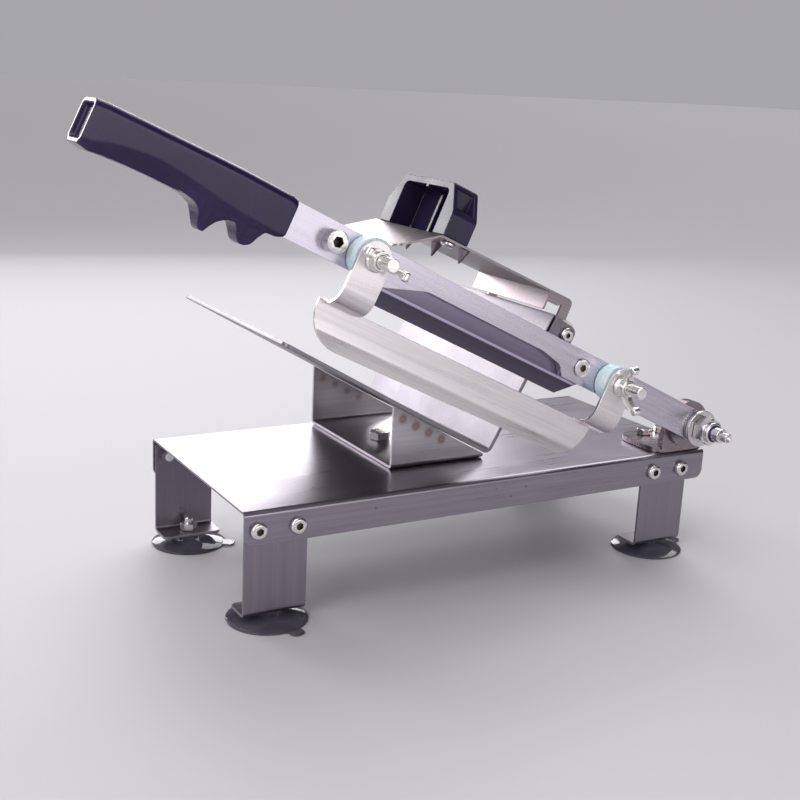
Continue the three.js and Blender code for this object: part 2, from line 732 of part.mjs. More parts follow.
// Pivot bolt, spacer, washer and nut
const armRear = armFront + armSheet;
const washerFront = armFront - gap - washerHeight;
const nutRear = washerFront - gap;
const nutFront = nutRear - pivotNutHeight;
const collarFront = nutFront - pivotCollarHeight;
const boltEnd = collarFront - pivotBoltBeyond;
const headFront = uprightRear + gap;
add('pivot_bolt', join(
  hexY(pivotBoltFlats, pivotX, pivotZ, headFront, headFront + pivotBoltHead),
  pinY(pivotRadius, pivotX, pivotZ, boltEnd, headFront + 1, 20),
  pinY(pivotPointRadius, pivotX, pivotZ, boltEnd - pivotPointLength, boltEnd + 1, 12),
), screwSteel);

function ring(radius, hole, fromY, toY, sides = 24) {
  return cut(pinY(radius, pivotX, pivotZ, fromY, toY, sides),
    pinY(hole, pivotX, pivotZ, fromY - 1, toY + 1, 20));
}

add('pivot_spacer', ring(spacerRadius, pivotRadius + gap, armRear + gap, bossFront - gap), steel);
add('pivot_washer', ring(washerRadius, pivotRadius + gap, washerFront, armFront - gap), screwSteel);
add('pivot_nut', cut(join(
  hexY(pivotBoltFlats, pivotX, pivotZ, nutFront, nutRear),
  pinY(pivotCollar, pivotX, pivotZ, collarFront, nutFront + 1, 20),
), pinY(pivotRadius + gap, pivotX, pivotZ, collarFront - 1, nutRear + 1, 20)), screwSteel);

// Arm frame: towards the handle and square to it, from the pivot axis
function onArm(geometry) {
  return geometry.rotateY(armAngle).translate(pivotX, 0, pivotZ);
}

// Along the arm is measured towards the handle, which is -X before the tilt
function armOutline(corners, steps) {
  return outline(corners.map(([along, up, radius]) => [-along, up, radius]), steps);
}

const armShape = armOutline([
  ...arc(0, 0, armHalf, 90, 270, 10).map(([a, b]) => [a, b]),
  [reliefStart, -armHalf], [reliefStart + 5, -armHalf * 0.4, 6], [reliefStart + 22, -reliefTop, 20],
  [reliefEnd - 28, -reliefTop, 24], [reliefEnd, -armHalf, 4], [tangStart, -armHalf],
  [tangStart, -tangHalf], [tangEnd, -tangHalf], [tangEnd, tangHalf], [tangStart, tangHalf],
  [tangStart, armHalf],
], 4);
add('arm_bar', onArm(cut(slab(armShape, armFront, armRear),
  pinY(pivotRadius + gap, 0, 0, armFront - 1, armRear + 1, 20),
  ...[studLeft, studRight].map((along) => pinY(studRadius + gap, -along, 0, armFront - 1, armRear + 1)),
  ...[bladeScrewLeft, bladeScrewRight].map((along) => pinY(bladeScrewRadius + gap, -along, 0,
    armFront - 1, armRear + 1)))), steel);

// Handle grip: a rounded bar that flares at the butt, with two finger hooks below
const handleStart = tangStart + gap;
const handleMiddle = (armFront + armRear) / 2;

// A thick shape in the arm frame whose long edges are rounded inwards
function rounded(shape, thickness, edge, segments) {
  return new THREE.ExtrudeGeometry(shape, {
    depth: thickness - 2 * edge,
    bevelThickness: edge,
    bevelSize: edge,
    bevelOffset: -edge,
    bevelSegments: segments,
  }).rotateX(Math.PI / 2).translate(0, handleMiddle + thickness / 2 - edge, 0);
}

const handleShape = armOutline([
  [handleStart, handleTop, 6], [handleEnd, handleTop + 0.5, 7], [handleEnd, -handleButt, 6],
  [handleEnd - 12, -handleBottom, 8], [handleStart + 60, -handleBottom, 20],
  [handleStart + 2, -handleBottom, 6],
], 4);
const hookShape = armOutline([
  [handleStart + 1, -handleBottom + 6], [handleStart + 5.5, -handleBottom + 1],
  [handleStart + 11, -handleBottom - 11, 3.2], [handleStart + 20, -handleBottom - 11, 3.2],
  [handleStart + 25, -handleBottom - 1, 4], [handleStart + 30, -handleBottom - 3, 4],
  [handleStart + 37, -handleBottom - 14.5, 3], [handleStart + 43.5, -handleBottom - 14.5, 3],
  [handleStart + 46.5, -handleBottom - 3.5, 8],
  [handleStart + 63, -handleBottom + 0.5], [handleStart + 63, -handleBottom + 6],
], 3);
add('handle_grip', onArm(cut(join(
  rounded(handleShape, handleThickness, handleEdge, 3),
  rounded(hookShape, hookThickness, hookEdge, 2),
), box(-tangEnd - gap, -handleStart + 1, armFront - gap, armRear + gap,
  -tangHalf - gap, tangHalf + gap))), blackPlastic);

// Blade: the tang behind the arm, a facet and a wide bevel below
const bladeFront = armRear + gap;
const bladeRear = bladeFront + bladeSheet;
const bladeSection = outline([
  [bladeFront, armHalf - 2], [bladeFront, -bladeFlat], [bladeFront + 0.5, -bladeFlat - bladeFacet],
  [bladeRear - 0.2, -bladeEdge], [bladeRear, -bladeEdge], [bladeRear, armHalf - 2],
]);
const bladeShape = armOutline([
  [bladeStart - 5, armHalf - 1], [bladeStart - 5, -8], [bladeStart, -bladeFlat],
  [bladeStart + 13.5, -bladeEdge - 1], [bladeEnd - 5, -bladeEdge - 1], [bladeEnd - 4, -bladeEdge + 1, 2],
  [bladeEnd, -bladeFlat + 1], [bladeTangEnd, -armHalf + 3, 3], [bladeTangEnd, armHalf - 1, 3],
], 3);
add('blade', onArm(cut(
  common(bar(bladeSection, -bladeTangEnd - 1, -bladeStart + 6),
    slab(bladeShape, bladeFront - 1, bladeRear + 1)),
  ...[bladeScrewLeft, bladeScrewRight].map((along) => pinY(bladeScrewRadius + gap, -along, 0,
    bladeFront - 1, bladeRear + 1)))), bladeSteel);
const bladeScrewLength = armSheet + bladeSheet + gap;
add('blade_screw_left', onArm(capScrew(capHeadRadius, capHeadHeight, bladeScrewRadius, bladeScrewLength, 6)
  .translate(-bladeScrewLeft, armFront - gap, 0)), screwSteel);
add('blade_screw_right', onArm(capScrew(flatHeadRadius, flatHeadHeight, bladeScrewRadius, bladeScrewLength, 4)
  .translate(-bladeScrewRight, armFront - gap, 0)), screwSteel);

// Studs of the thickness plate, with a soft ring, a strap and a wing nut on each
const ringFront = armFront - gap - ringHeight;
const strapRear = ringFront - gap;
const strapFront = strapRear - strapSheet;
const plateRear = bladeRear - sliceThickness;
const plateFront = plateRear - plateSheet;

function strap(along) {
  const up = plateTop + strapSheet;
  const section = outline([
    [strapRear, ringRadius], [strapFront, ringRadius], [strapFront, -up, strapBend],
    [plateRear, -up], [plateRear, -plateTop], [strapRear, -plateTop, strapBend - strapSheet],
  ], 6);
  const half = strapWidth / 2;
  const face = armOutline([
    [along - half, -up - 1], ...arc(along, 0, half, 180, 0, 10), [along + half, -up - 1],
  ]);
  return common(bar(section, -along - half, -along + half), slab(face, strapFront - 1, plateRear + 1));
}

const foldSection = outline([
  [plateFront, -plateTop - 0.5], [plateFront, -plateFold], [plateFront - plateFoldShift, -plateBottom],
  [plateRear - plateFoldShift, -plateBottom], [plateRear, -plateFold], [plateRear, -plateTop - 0.5],
]);
const gaugeShape = armOutline([
  [plateStart, -plateTop], [plateStart + 1, -plateBottom, plateRound],
  [plateEnd - 1, -plateBottom, plateRound], [plateEnd, -plateTop],
], 7);
const gaugeBody = common(bar(foldSection, -plateEnd, -plateStart),
  slab(gaugeShape, plateFront - plateFoldShift - 1, plateRear + 1));
add('thickness_plate', onArm(cut(join(gaugeBody, strap(studLeft), strap(studRight)),
  ...[studLeft, studRight].map((along) => pinY(studRadius + gap, -along, 0,
    strapFront - 1, strapRear + 1)))), sheetSteel);

// Wing nut along Y about the origin, its wings up and down, its seat at Y = 0
function wingNut() {
  const hub = turned([
    [0, 0], [wingHub, 0], [wingHub, 1.2], [wingHub - 1, 2.4], [wingHub - 1.6, wingHubHeight],
    [0, wingHubHeight],
  ], 16).rotateX(Math.PI / 2);
  const wing = outline([
    [2, -0.8], [wingReach - 5, -wingHubHeight + 0.5, 4], [wingReach, -wingForward + 2, 1],
    [wingReach - 3.4, -wingForward + 1, 1], [wingReach - 8, -wingHubHeight - 1, 3],
    [2, -wingHubHeight + 0.5],
  ], 3);
  const across = new THREE.Matrix4().makeBasis(
    new THREE.Vector3(0, 0, 1), new THREE.Vector3(0, 1, 0), new THREE.Vector3(-1, 0, 0));
  const fin = new THREE.ExtrudeGeometry(wing, { depth: wingThickness, bevelEnabled: false })
    .applyMatrix4(across).translate(wingThickness / 2, 0, 0);
  const knob = new THREE.CylinderGeometry(wingKnob, wingKnob, wingThickness + 3.4, 12)
    .rotateZ(Math.PI / 2).translate(0, -wingForward + 1.6, wingReach - 1.8);
  const wings = [fin, knob].flatMap((piece) => [piece, piece.clone().rotateY(Math.PI)]);
  return cut(join(hub, ...wings), pinY(studRadius + gap, 0, 0, -wingHubHeight - 1, 1));
}

const studs = [
  { side: 'left', along: studLeft, turn: 97 },
  { side: 'right', along: studRight, turn: -34 },
];
for (const { side, along, turn } of studs) {
  const stud = pinY(studRadius, -along, 0, armFront - studReach, armRear - gap / 2, 16);
  const soft = cut(pinY(ringRadius, -along, 0, ringFront, armFront - gap, 24),
    pinY(studRadius + gap, -along, 0, ringFront - 1, armFront + 1));
  add(`gauge_stud_${side}`, onArm(stud), screwSteel);
  add(`gauge_ring_${side}`, onArm(soft), blueSilicone);
  add(`wing_nut_${side}`, onArm(wingNut().rotateY(THREE.MathUtils.degToRad(turn))
    .translate(-along, strapFront - gap, 0)), screwSteel);
}

// The middle of the footprint on the ground is the origin
const bounds = new THREE.Box3().setFromObject(slicer);
const middle = bounds.getCenter(new THREE.Vector3());
for (const mesh of slicer.children) {
  mesh.geometry.translate(-middle.x, -middle.y, -bounds.min.z);
}

export default slicer;
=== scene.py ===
from math import atan2, cos, hypot, pi, radians, sin

import bmesh
import bpy
from mathutils import Matrix, Vector


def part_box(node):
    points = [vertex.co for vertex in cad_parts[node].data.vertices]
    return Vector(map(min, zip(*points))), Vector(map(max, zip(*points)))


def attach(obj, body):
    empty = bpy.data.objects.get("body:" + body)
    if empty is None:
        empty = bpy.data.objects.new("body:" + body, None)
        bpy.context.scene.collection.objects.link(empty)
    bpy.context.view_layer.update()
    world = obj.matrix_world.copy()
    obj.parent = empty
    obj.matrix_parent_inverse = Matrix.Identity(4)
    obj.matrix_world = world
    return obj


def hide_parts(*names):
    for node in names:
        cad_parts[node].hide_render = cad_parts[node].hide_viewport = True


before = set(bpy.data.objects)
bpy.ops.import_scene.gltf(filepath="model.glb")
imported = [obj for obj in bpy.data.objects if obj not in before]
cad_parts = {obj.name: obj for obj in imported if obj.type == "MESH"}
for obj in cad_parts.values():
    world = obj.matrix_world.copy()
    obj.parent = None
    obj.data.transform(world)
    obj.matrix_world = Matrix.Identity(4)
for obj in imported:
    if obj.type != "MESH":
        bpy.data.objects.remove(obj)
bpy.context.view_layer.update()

# Camera: it stands low in front of the handle end and looks along the table towards the pivot.
# The horizon leans by a few degrees, because the camera was held a little askew.
eye = Vector((-0.3866, -0.6727, 0.3171))
heading, dip, lean = radians(30.52), radians(14.69), radians(2.87)
bpy.ops.object.select_all(action="DESELECT")
bpy.ops.object.camera_add()
camera = bpy.context.object
camera.matrix_world = (
    Matrix.Translation(eye) @ Matrix.Rotation(-heading, 4, "Z")
    @ Matrix.Rotation(pi / 2 - dip, 4, "X") @ Matrix.Rotation(lean, 4, "Z"))
camera.data.lens = 54.91
camera.data.sensor_width = 36
camera.data.clip_start = 0.01
bpy.context.scene.camera = camera
bpy.context.scene.view_settings.view_transform = "Standard"

# Studio: a wide pale floor and soft lamps. The longest lamp stands low behind the table, where its
# reflection whitens the left of the table top, and the right of the room is darker.
world = bpy.data.worlds.new("studio_air")
world.use_nodes = True
bpy.context.scene.world = world
air = world.node_tree.nodes
air_links = world.node_tree.links
direction = air.new("ShaderNodeTexCoord")
side = air.new("ShaderNodeVectorMath")
side.operation = "DOT_PRODUCT"
side.inputs[1].default_value = (-0.8, 0.35, 0.48)
air_links.new(direction.outputs["Generated"], side.inputs[0])
shade = air.new("ShaderNodeValToRGB")
shade.color_ramp.elements[0].color = (0.05, 0.047, 0.062, 1)
shade.color_ramp.elements[0].position = 0.25
shade.color_ramp.elements[1].color = (0.62, 0.61, 0.64, 1)
shade.color_ramp.elements[1].position = 0.95
half_up = air.new("ShaderNodeMapRange")
half_up.inputs["From Min"].default_value = -1
air_links.new(side.outputs["Value"], half_up.inputs["Value"])
air_links.new(half_up.outputs["Result"], shade.inputs["Fac"])
air_links.new(shade.outputs["Color"], air["Background"].inputs["Color"])
pale = air.new("ShaderNodeBackground")
pale.inputs["Color"].default_value = (0.385, 0.378, 0.40, 1)
seen = air.new("ShaderNodeLightPath")
either = air.new("ShaderNodeMixShader")
air_links.new(seen.outputs["Is Camera Ray"], either.inputs["Fac"])
air_links.new(air["Background"].outputs["Background"], either.inputs[1])
air_links.new(pale.outputs["Background"], either.inputs[2])
air_links.new(either.outputs["Shader"], air["World Output"].inputs["Surface"])

bpy.ops.mesh.primitive_plane_add(size=60, location=(0.6, 1.4, 0))
floor = bpy.context.object
floor.name = "studio_floor"
paint = bpy.data.materials.new("floor_paint")
paint.use_nodes = True
mottle = paint.node_tree.nodes.new("ShaderNodeTexNoise")
mottle.inputs["Scale"].default_value = 3
tint = paint.node_tree.nodes.new("ShaderNodeValToRGB")
tint.color_ramp.elements[0].color = (0.53, 0.52, 0.545, 1)
tint.color_ramp.elements[1].color = (0.57, 0.56, 0.585, 1)
paint.node_tree.links.new(mottle.outputs["Fac"], tint.inputs["Fac"])
floor_finish = paint.node_tree.nodes["Principled BSDF"]
paint.node_tree.links.new(tint.outputs["Color"], floor_finish.inputs["Base Color"])
floor_finish.inputs["Roughness"].default_value = 0.6
floor.data.materials.append(paint)


def lamp(name, place, target, width, height, power):
    """A soft rectangular lamp that faces a point and isn't seen itself"""
    bpy.ops.object.light_add(type="AREA", location=place)
    light = bpy.context.object
    light.name = name
    light.data.shape = "RECTANGLE"
    light.data.size = width
    light.data.size_y = height
    light.data.energy = power
    light.rotation_euler = (Vector(target) - Vector(place)).to_track_quat("-Z", "Y").to_euler()
    light.visible_camera = False


lamp("long_lamp_behind", (0.48, 1.7, 0.70), (0.1, 0, 1.5), 1.3, 0.75, 16)
lamp("lamp_behind_handle", (-0.8, 1.7, 0.82), (-0.1, 0, 1.5), 0.75, 0.65, 13)
lamp("low_lamp_right", (0.55, -1.05, 0.17), (-0.05, 0, 0.2), 0.6, 0.26, 0.5)
lamp("soft_lamp_above", (-0.6, -0.2, 1.7), (0, 0, 0.1), 1.2, 1.2, 9)
lamp("front_lamp_left", (-1.5, -0.9, 0.9), (-0.1, 0, 0.15), 0.8, 1.2, 8)
lamp("front_lamp_low", (0.2, -1.9, 0.42), (0, 0, 0.15), 1.2, 0.5, 6)
bpy.ops.object.light_add(type="SUN", location=(1.1, 0.9, 1.5))
sun = bpy.context.object
sun.name = "soft_sun"
sun.data.energy = 1.1
sun.data.angle = radians(40)
sun.rotation_euler = Vector((-0.55, -0.45, -0.75)).to_track_quat("-Z", "Y").to_euler()


# Table: one sheet of brushed stainless steel, 1.5 mm thick. Its long edges are bent down, 21 mm in
# front and 27 mm behind, and the lower corners of both flanges are rounded.
table_low, table_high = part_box("base_table")
origin = Vector((table_low.x, table_low.y, table_high.z))
table_length, table_depth = 352, 160
front_flange, rear_flange = 21, 27


def leave():
    """Goes back to object mode after shaping"""
    if bpy.context.mode != "OBJECT":
        bpy.ops.object.mode_set(mode="OBJECT")


def only(*pieces):
    """Selects these pieces alone, with the first one active"""
    leave()
    bpy.ops.object.select_all(action="DESELECT")
    for piece in pieces:
        piece.select_set(True)
    bpy.context.view_layer.objects.active = pieces[0]


def put(piece, turn, spot=(0, 0, 0), scale=1):
    """Turns, scales and moves a piece, and leaves its object at the origin"""
    only(piece)
    piece.rotation_euler, piece.location, piece.scale = turn, spot, (scale, scale, scale)
    bpy.ops.object.transform_apply(location=True, rotation=True, scale=True)


def gather(*pieces):
    """Joins pieces into the first"""
    only(*pieces)
    bpy.ops.object.join()
    return pieces[0]


def begin(name, add, **settings):
    """Adds a primitive with nothing else selected and opens it for shaping. One unit is a millimetre."""
    leave()
    bpy.ops.object.select_all(action="DESELECT")
    add(**settings)
    bpy.ops.object.transform_apply(location=True, rotation=True, scale=True)
    piece = bpy.context.object
    piece.name = piece.data.name = name
    bpy.ops.object.mode_set(mode="EDIT")
    return piece


def choose(kind, test):
    """Selects the vertices, edges or faces whose middle passes the test"""
    bpy.ops.mesh.select_mode(type=kind)
    bpy.ops.mesh.select_all(action="DESELECT")
    form = bmesh.from_edit_mesh(bpy.context.edit_object.data)
    for part in {"VERT": form.verts, "EDGE": form.edges, "FACE": form.faces}[kind]:
        corners = [part] if kind == "VERT" else part.verts
        if test(sum((corner.co for corner in corners), Vector()) / len(corners)):
            part.select_set(True)
    form.select_flush_mode()
    bmesh.update_edit_mesh(bpy.context.edit_object.data)


def pull(kind, test, way):
    """Extrudes what passes the test by one step"""
    choose(kind, test)
    bpy.ops.mesh.extrude_region_move(TRANSFORM_OT_translate={"value": way})


def modify(piece, kind, **settings):
    """Adds one modifier and applies it"""
    leave()
    bpy.context.view_layer.objects.active = piece
    tool = piece.modifiers.new(kind.lower(), kind)
    for key, value in settings.items():
        setattr(tool, key, value)
    bpy.ops.object.modifier_apply(modifier=tool.name)


def soften(piece, edge, steps=2, sharp=35):
    """Breaks the sharp edges and shades the rest smooth, with the large faces kept flat"""
    modify(piece, "BEVEL", width=edge, segments=steps, limit_method="ANGLE", angle_limit=radians(sharp))
    only(piece)
    bpy.ops.object.shade_smooth_by_angle(angle=radians(40))
    modify(piece, "WEIGHTED_NORMAL", keep_sharp=True)


def settle(piece, spot=(0, 0, 0), tilt=0):
    """Turns a piece in millimetres about Y and puts it at a place on the table, in metres"""
    put(piece, (0, tilt, 0), origin + Vector(spot) / 1000, 0.001)


def finish(piece, body, slot, material, *nodes):
    """Gives the piece its material and body, and hides the CAD nodes that it stands for; the record slot is
    not used
    """
    if piece.data.materials:
        piece.data.materials[0] = material
    else:
        piece.data.materials.append(material)
    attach(piece, body)
    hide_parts(*nodes)


def grain_group():
    """Long fine streaks along X, broad bands of them, and soft clouds of handling"""
    group = bpy.data.node_groups.new("rolled_grain", "ShaderNodeTree")
    group.interface.new_socket("Vector", in_out="INPUT", socket_type="NodeSocketVector")
    for name in ("Streaks", "Bands", "Clouds"):
        group.interface.new_socket(name, in_out="OUTPUT", socket_type="NodeSocketFloat")
    entry = group.nodes.new("NodeGroupInput")
    leave = group.nodes.new("NodeGroupOutput")
    for name, stretch, detail in (
            ("Streaks", (22, 1900, 1900), 3), ("Bands", (7, 420, 420), 2), ("Clouds", (24, 24, 24), 4)):
        space = group.nodes.new("ShaderNodeMapping")
        space.inputs["Scale"].default_value = stretch
        noise = group.nodes.new("ShaderNodeTexNoise")
        noise.inputs["Scale"].default_value = 1
        noise.inputs["Detail"].default_value = detail
        group.links.new(entry.outputs["Vector"], space.inputs["Vector"])
        group.links.new(space.outputs["Vector"], noise.inputs["Vector"])
        group.links.new(noise.outputs["Fac"], leave.inputs[name])
    return group


grain = grain_group()


def blend_of(nodes, links, amount, low, high, first, second):
    """Maps a value between two limits to a colour between two colours"""
    ramp = nodes.new("ShaderNodeValToRGB")
    ramp.color_ramp.elements[0].position = low
    ramp.color_ramp.elements[0].color = (*first, 1)
    ramp.color_ramp.elements[1].position = high
    ramp.color_ramp.elements[1].color = (*second, 1)
    links.new(amount, ramp.inputs["Fac"])
    return ramp.outputs["Color"]


def span_of(nodes, links, amount, low, high, first, second):
    """Maps a value between two limits to a number between two numbers"""
    span = nodes.new("ShaderNodeMapRange")
    for name, value in (("From Min", low), ("From Max", high), ("To Min", first), ("To Max", second)):
        span.inputs[name].default_value = value
    links.new(amount, span.inputs["Value"])
    return span.outputs["Result"]


def brushed(name, dark, light, rough, turn=(0, 0, 0), relief=0.05):
    """Brushed steel whose grain runs along X before the turn"""
    material = bpy.data.materials.new(name)
    material.use_nodes = True
    nodes, links = material.node_tree.nodes, material.node_tree.links
    shader = nodes["Principled BSDF"]
    shader.inputs["Metallic"].default_value = 1
    place = nodes.new("ShaderNodeTexCoord")
    turned = nodes.new("ShaderNodeMapping")
    turned.inputs["Rotation"].default_value = turn
    streaks = nodes.new("ShaderNodeGroup")
    streaks.node_tree = grain
    links.new(place.outputs["Object"], turned.inputs["Vector"])
    links.new(turned.outputs["Vector"], streaks.inputs["Vector"])
    mixed = nodes.new("ShaderNodeMath")
    mixed.operation = "MULTIPLY_ADD"
    mixed.inputs[1].default_value = 0.55
    links.new(streaks.outputs["Streaks"], mixed.inputs[0])
    halved = nodes.new("ShaderNodeMath")
    halved.operation = "MULTIPLY"
    halved.inputs[1].default_value = 0.45
    links.new(streaks.outputs["Bands"], halved.inputs[0])
    links.new(halved.outputs["Value"], mixed.inputs[2])
    links.new(blend_of(nodes, links, mixed.outputs["Value"], 0.36, 0.64, dark, light),
              shader.inputs["Base Color"])
    clouded = nodes.new("ShaderNodeMath")
    clouded.operation = "MULTIPLY_ADD"
    clouded.inputs[1].default_value = 0.5
    links.new(streaks.outputs["Clouds"], clouded.inputs[0])
    links.new(mixed.outputs["Value"], clouded.inputs[2])
    links.new(span_of(nodes, links, clouded.outputs["Value"], 0.5, 1.0, rough - 0.08, rough + 0.08),
              shader.inputs["Roughness"])
    bump = nodes.new("ShaderNodeBump")
    bump.inputs["Strength"].default_value = relief
    bump.inputs["Distance"].default_value = 0.0002
    links.new(mixed.outputs["Value"], bump.inputs["Height"])
    links.new(bump.outputs["Normal"], shader.inputs["Normal"])
    return material


def speckle_group():
    """A few tiny dark specks of dust and frost on a sheet that lies open"""
    group = bpy.data.node_groups.new("fine_specks", "ShaderNodeTree")
    group.interface.new_socket("Vector", in_out="INPUT", socket_type="NodeSocketVector")
    group.interface.new_socket("Specks", in_out="OUTPUT", socket_type="NodeSocketFloat")
    entry = group.nodes.new("NodeGroupInput")
    leave = group.nodes.new("NodeGroupOutput")
    cells = group.nodes.new("ShaderNodeTexVoronoi")
    cells.inputs["Scale"].default_value = 170
    group.links.new(entry.outputs["Vector"], cells.inputs["Vector"])
    split = group.nodes.new("ShaderNodeSeparateColor")
    group.links.new(cells.outputs["Color"], split.inputs["Color"])
    few = span_of(group.nodes, group.links, split.outputs["Red"], 0.86, 1.0, 0.0, 0.16)
    near = group.nodes.new("ShaderNodeMath")
    near.operation = "LESS_THAN"
    group.links.new(cells.outputs["Distance"], near.inputs[0])
    group.links.new(few, near.inputs[1])
    group.links.new(near.outputs["Value"], leave.inputs["Specks"])
    return group


specks = speckle_group()


def add_specks(material, colour):
    """Lays the specks over a material's base colour"""
    nodes, links = material.node_tree.nodes, material.node_tree.links
    socket = nodes["Principled BSDF"].inputs["Base Color"]
    below = socket.links[0].from_socket
    place = nodes.new("ShaderNodeTexCoord")
    mask = nodes.new("ShaderNodeGroup")
    mask.node_tree = specks
    links.new(place.outputs["Object"], mask.inputs["Vector"])
    over = nodes.new("ShaderNodeMix")
    over.data_type = "RGBA"
    over.inputs["B"].default_value = (*colour, 1)
    links.new(mask.outputs["Specks"], over.inputs["Factor"])
    links.new(below, over.inputs["A"])
    links.new(over.outputs["Result"], socket)


table = begin("table_sheet", bpy.ops.mesh.primitive_plane_add, size=1)
bpy.ops.transform.resize(value=(table_length, table_depth, 1))
bpy.ops.transform.translate(value=(table_length / 2, table_depth / 2, 0))
pull("EDGE", lambda p: p.y < 1, (0, 0, -front_flange))
pull("EDGE", lambda p: p.y > table_depth - 1, (0, 0, -rear_flange))
choose("EDGE", lambda p: p.z > -1 and abs(p.y - table_depth / 2) > 79 and abs(p.x - 176) < 1)
bpy.ops.mesh.bevel(offset=3, segments=6)
choose("VERT", lambda p: p.z < -10)
bpy.ops.mesh.bevel(offset=6, segments=6, affect="VERTICES")
modify(table, "SOLIDIFY", thickness=1.5, offset=-1)
soften(table, 0.35)
weld_nuts = []
for along in (327, 343):
    nut = begin("weld_nut", bpy.ops.mesh.primitive_cylinder_add, vertices=32, radius=6, depth=5,
                location=(along, 36, -4))
    choose("FACE", lambda p: p.z < -2.4)
    bpy.ops.mesh.inset(thickness=2.4)
    bpy.ops.mesh.extrude_region_move(TRANSFORM_OT_translate={"value": (0, 0, 4)})
    soften(nut, 0.4)
    weld_nuts.append(nut)
gather(table, *weld_nuts)
settle(table)
sheet_finish = brushed("table_steel", (0.28, 0.25, 0.295), (0.335, 0.31, 0.35), 0.32)
add_specks(sheet_finish, (0.18, 0.13, 0.16))
finish(table, "base", "sheet_steel", sheet_finish, "base_table")

# Legs: bent stainless strips inside the flanges, each with a foot tab that turns inwards. Two button
# head screws through the flange hold each leg in its rivet nuts.
leg_width, stand_height, screw_offset, screw_drop = 40.5, 66.5, 12.5, 11.5
leg_finish = brushed("leg_steel", (0.27, 0.24, 0.285), (0.305, 0.28, 0.32), 0.36, turn=(0, pi / 2, 0))
bright = brushed("plated_fastener", (0.66, 0.63, 0.64), (0.92, 0.90, 0.88), 0.18, relief=0.02)
# Near-black steel laid into the hexagon sockets of screws: painted shade in the recesses
socket_shade_paint = brushed("socket_painted_shade", (0.07, 0.045, 0.04), (0.15, 0.11, 0.09), 0.4, relief=0.02)


def twin(piece, name, spot, tilt=0, spin=0, about_y=0):
    """A copy of a piece modelled in millimetres, with its own mesh, turned about Z or Y and put in place"""
    only(piece)
    bpy.ops.object.duplicate(linked=False)
    other = bpy.context.object
    other.name = other.data.name = name
    put(other, (0, about_y, spin))
    settle(other, spot, tilt)
    return other


def carve(piece, tool, operation="DIFFERENCE"):
    """Cuts the piece with another solid, which is used up"""
    modify(piece, "BOOLEAN", object=tool, operation=operation, solver="EXACT")
    bpy.data.objects.remove(tool)


def round_along(name, radius, front, rear, edge=0, steps=2, sides=96, across=(0, 0)):
    """A round piece along Y, between two depths. With no edge to break it stays open for shaping."""
    piece = begin(name, bpy.ops.mesh.primitive_cylinder_add, vertices=sides, radius=radius,
                  depth=rear - front, location=(across[0], (front + rear) / 2, across[1]),
                  rotation=(pi / 2, 0, 0))
    if edge:
        soften(piece, edge, steps=steps)
    return piece


leg_strip = begin("leg_strip", bpy.ops.mesh.primitive_plane_add, size=1)
bpy.ops.transform.resize(value=(leg_width, 20, 1))
bpy.ops.transform.translate(value=(0, 11.8, -stand_height))
bpy.ops.mesh.flip_normals()
pull("EDGE", lambda p: p.y < 2, (0, 0, stand_height - 4))
choose("EDGE", lambda p: p.y < 2 and p.z < 1 - stand_height and abs(p.x) < 1)
bpy.ops.mesh.bevel(offset=3.5, segments=6)
choose("VERT", lambda p: p.y > 21)
bpy.ops.mesh.bevel(offset=3, segments=5, affect="VERTICES")
modify(leg_strip, "SOLIDIFY", thickness=2, offset=-1)
soften(leg_strip, 0.35)
gather(leg_strip, *[round_along("rivet_nut", 4.5, 3.8, 9.8, 0.4, sides=32, across=(side, -screw_drop))
                    for side in (-screw_offset, screw_offset)])


def paint_socket_shade(screw, test):
    """Paints the floor and walls of a hexagon socket near-black: painted shade in the recess"""
    screw.data.materials.append(bright)
    screw.data.materials.append(socket_shade_paint)
    only(screw)
    bpy.ops.object.mode_set(mode="EDIT")
    choose("FACE", test)
    screw.active_material_index = 1
    bpy.ops.object.material_slot_assign()
    leave()


def socket_screw(name, radius, seat, height, rounding, steps, hexagon, deep, sides=56):
    """A domed screw head in front of its seat, with a hexagon socket"""
    top = seat - height
    screw = round_along(name, radius, top, seat, sides=sides)
    choose("FACE", lambda p: p.y < top + 0.1)
    bpy.ops.mesh.bevel(offset=rounding, offset_type="WIDTH", segments=steps, affect="EDGES")
    carve(screw, round_along("socket", hexagon, top - deep, top + deep, sides=6))
    paint_socket_shade(screw, lambda p: hypot(p.x, p.z) < hexagon - 0.01 and p.y > top + 0.05)
    soften(screw, 0.2)
    return screw


button_screw = socket_screw("button_screw", radius=5.25, seat=-0.3, height=3.3, rounding=2.5, steps=8,
                            hexagon=2.35, deep=1.9, sides=64)
gather(button_screw, round_along("thread", 3, -0.6, 10.8, 0.5, steps=1, sides=40))

corners = (("front_left", 21.25, 0, 0), ("front_right", 318.25, 0, 0),
           ("rear_left", 21.25, table_depth, pi), ("rear_right", 318.25, table_depth, pi))
for corner, along, depth, spin in corners:
    leg = twin(leg_strip, "bent_leg_" + corner, (along, depth, 0), spin=spin)
    finish(leg, "base", "sheet_steel", leg_finish, "leg_" + corner)
    for letter, side in (("a", -screw_offset), ("b", screw_offset)):
        across = side if spin == 0 else -side
        screw = twin(button_screw, f"flange_screw_{corner}_{letter}",
                     (along + across, depth, -screw_drop), spin=spin)
        finish(screw, "base", "fastener_steel", bright, f"leg_screw_{corner}_{letter}")

# Suction cups: soft smoky vinyl, 50 mm across, each with a pull tab at its rim. A stud moulded into
# the neck passes through the foot tab and takes a nut from above.


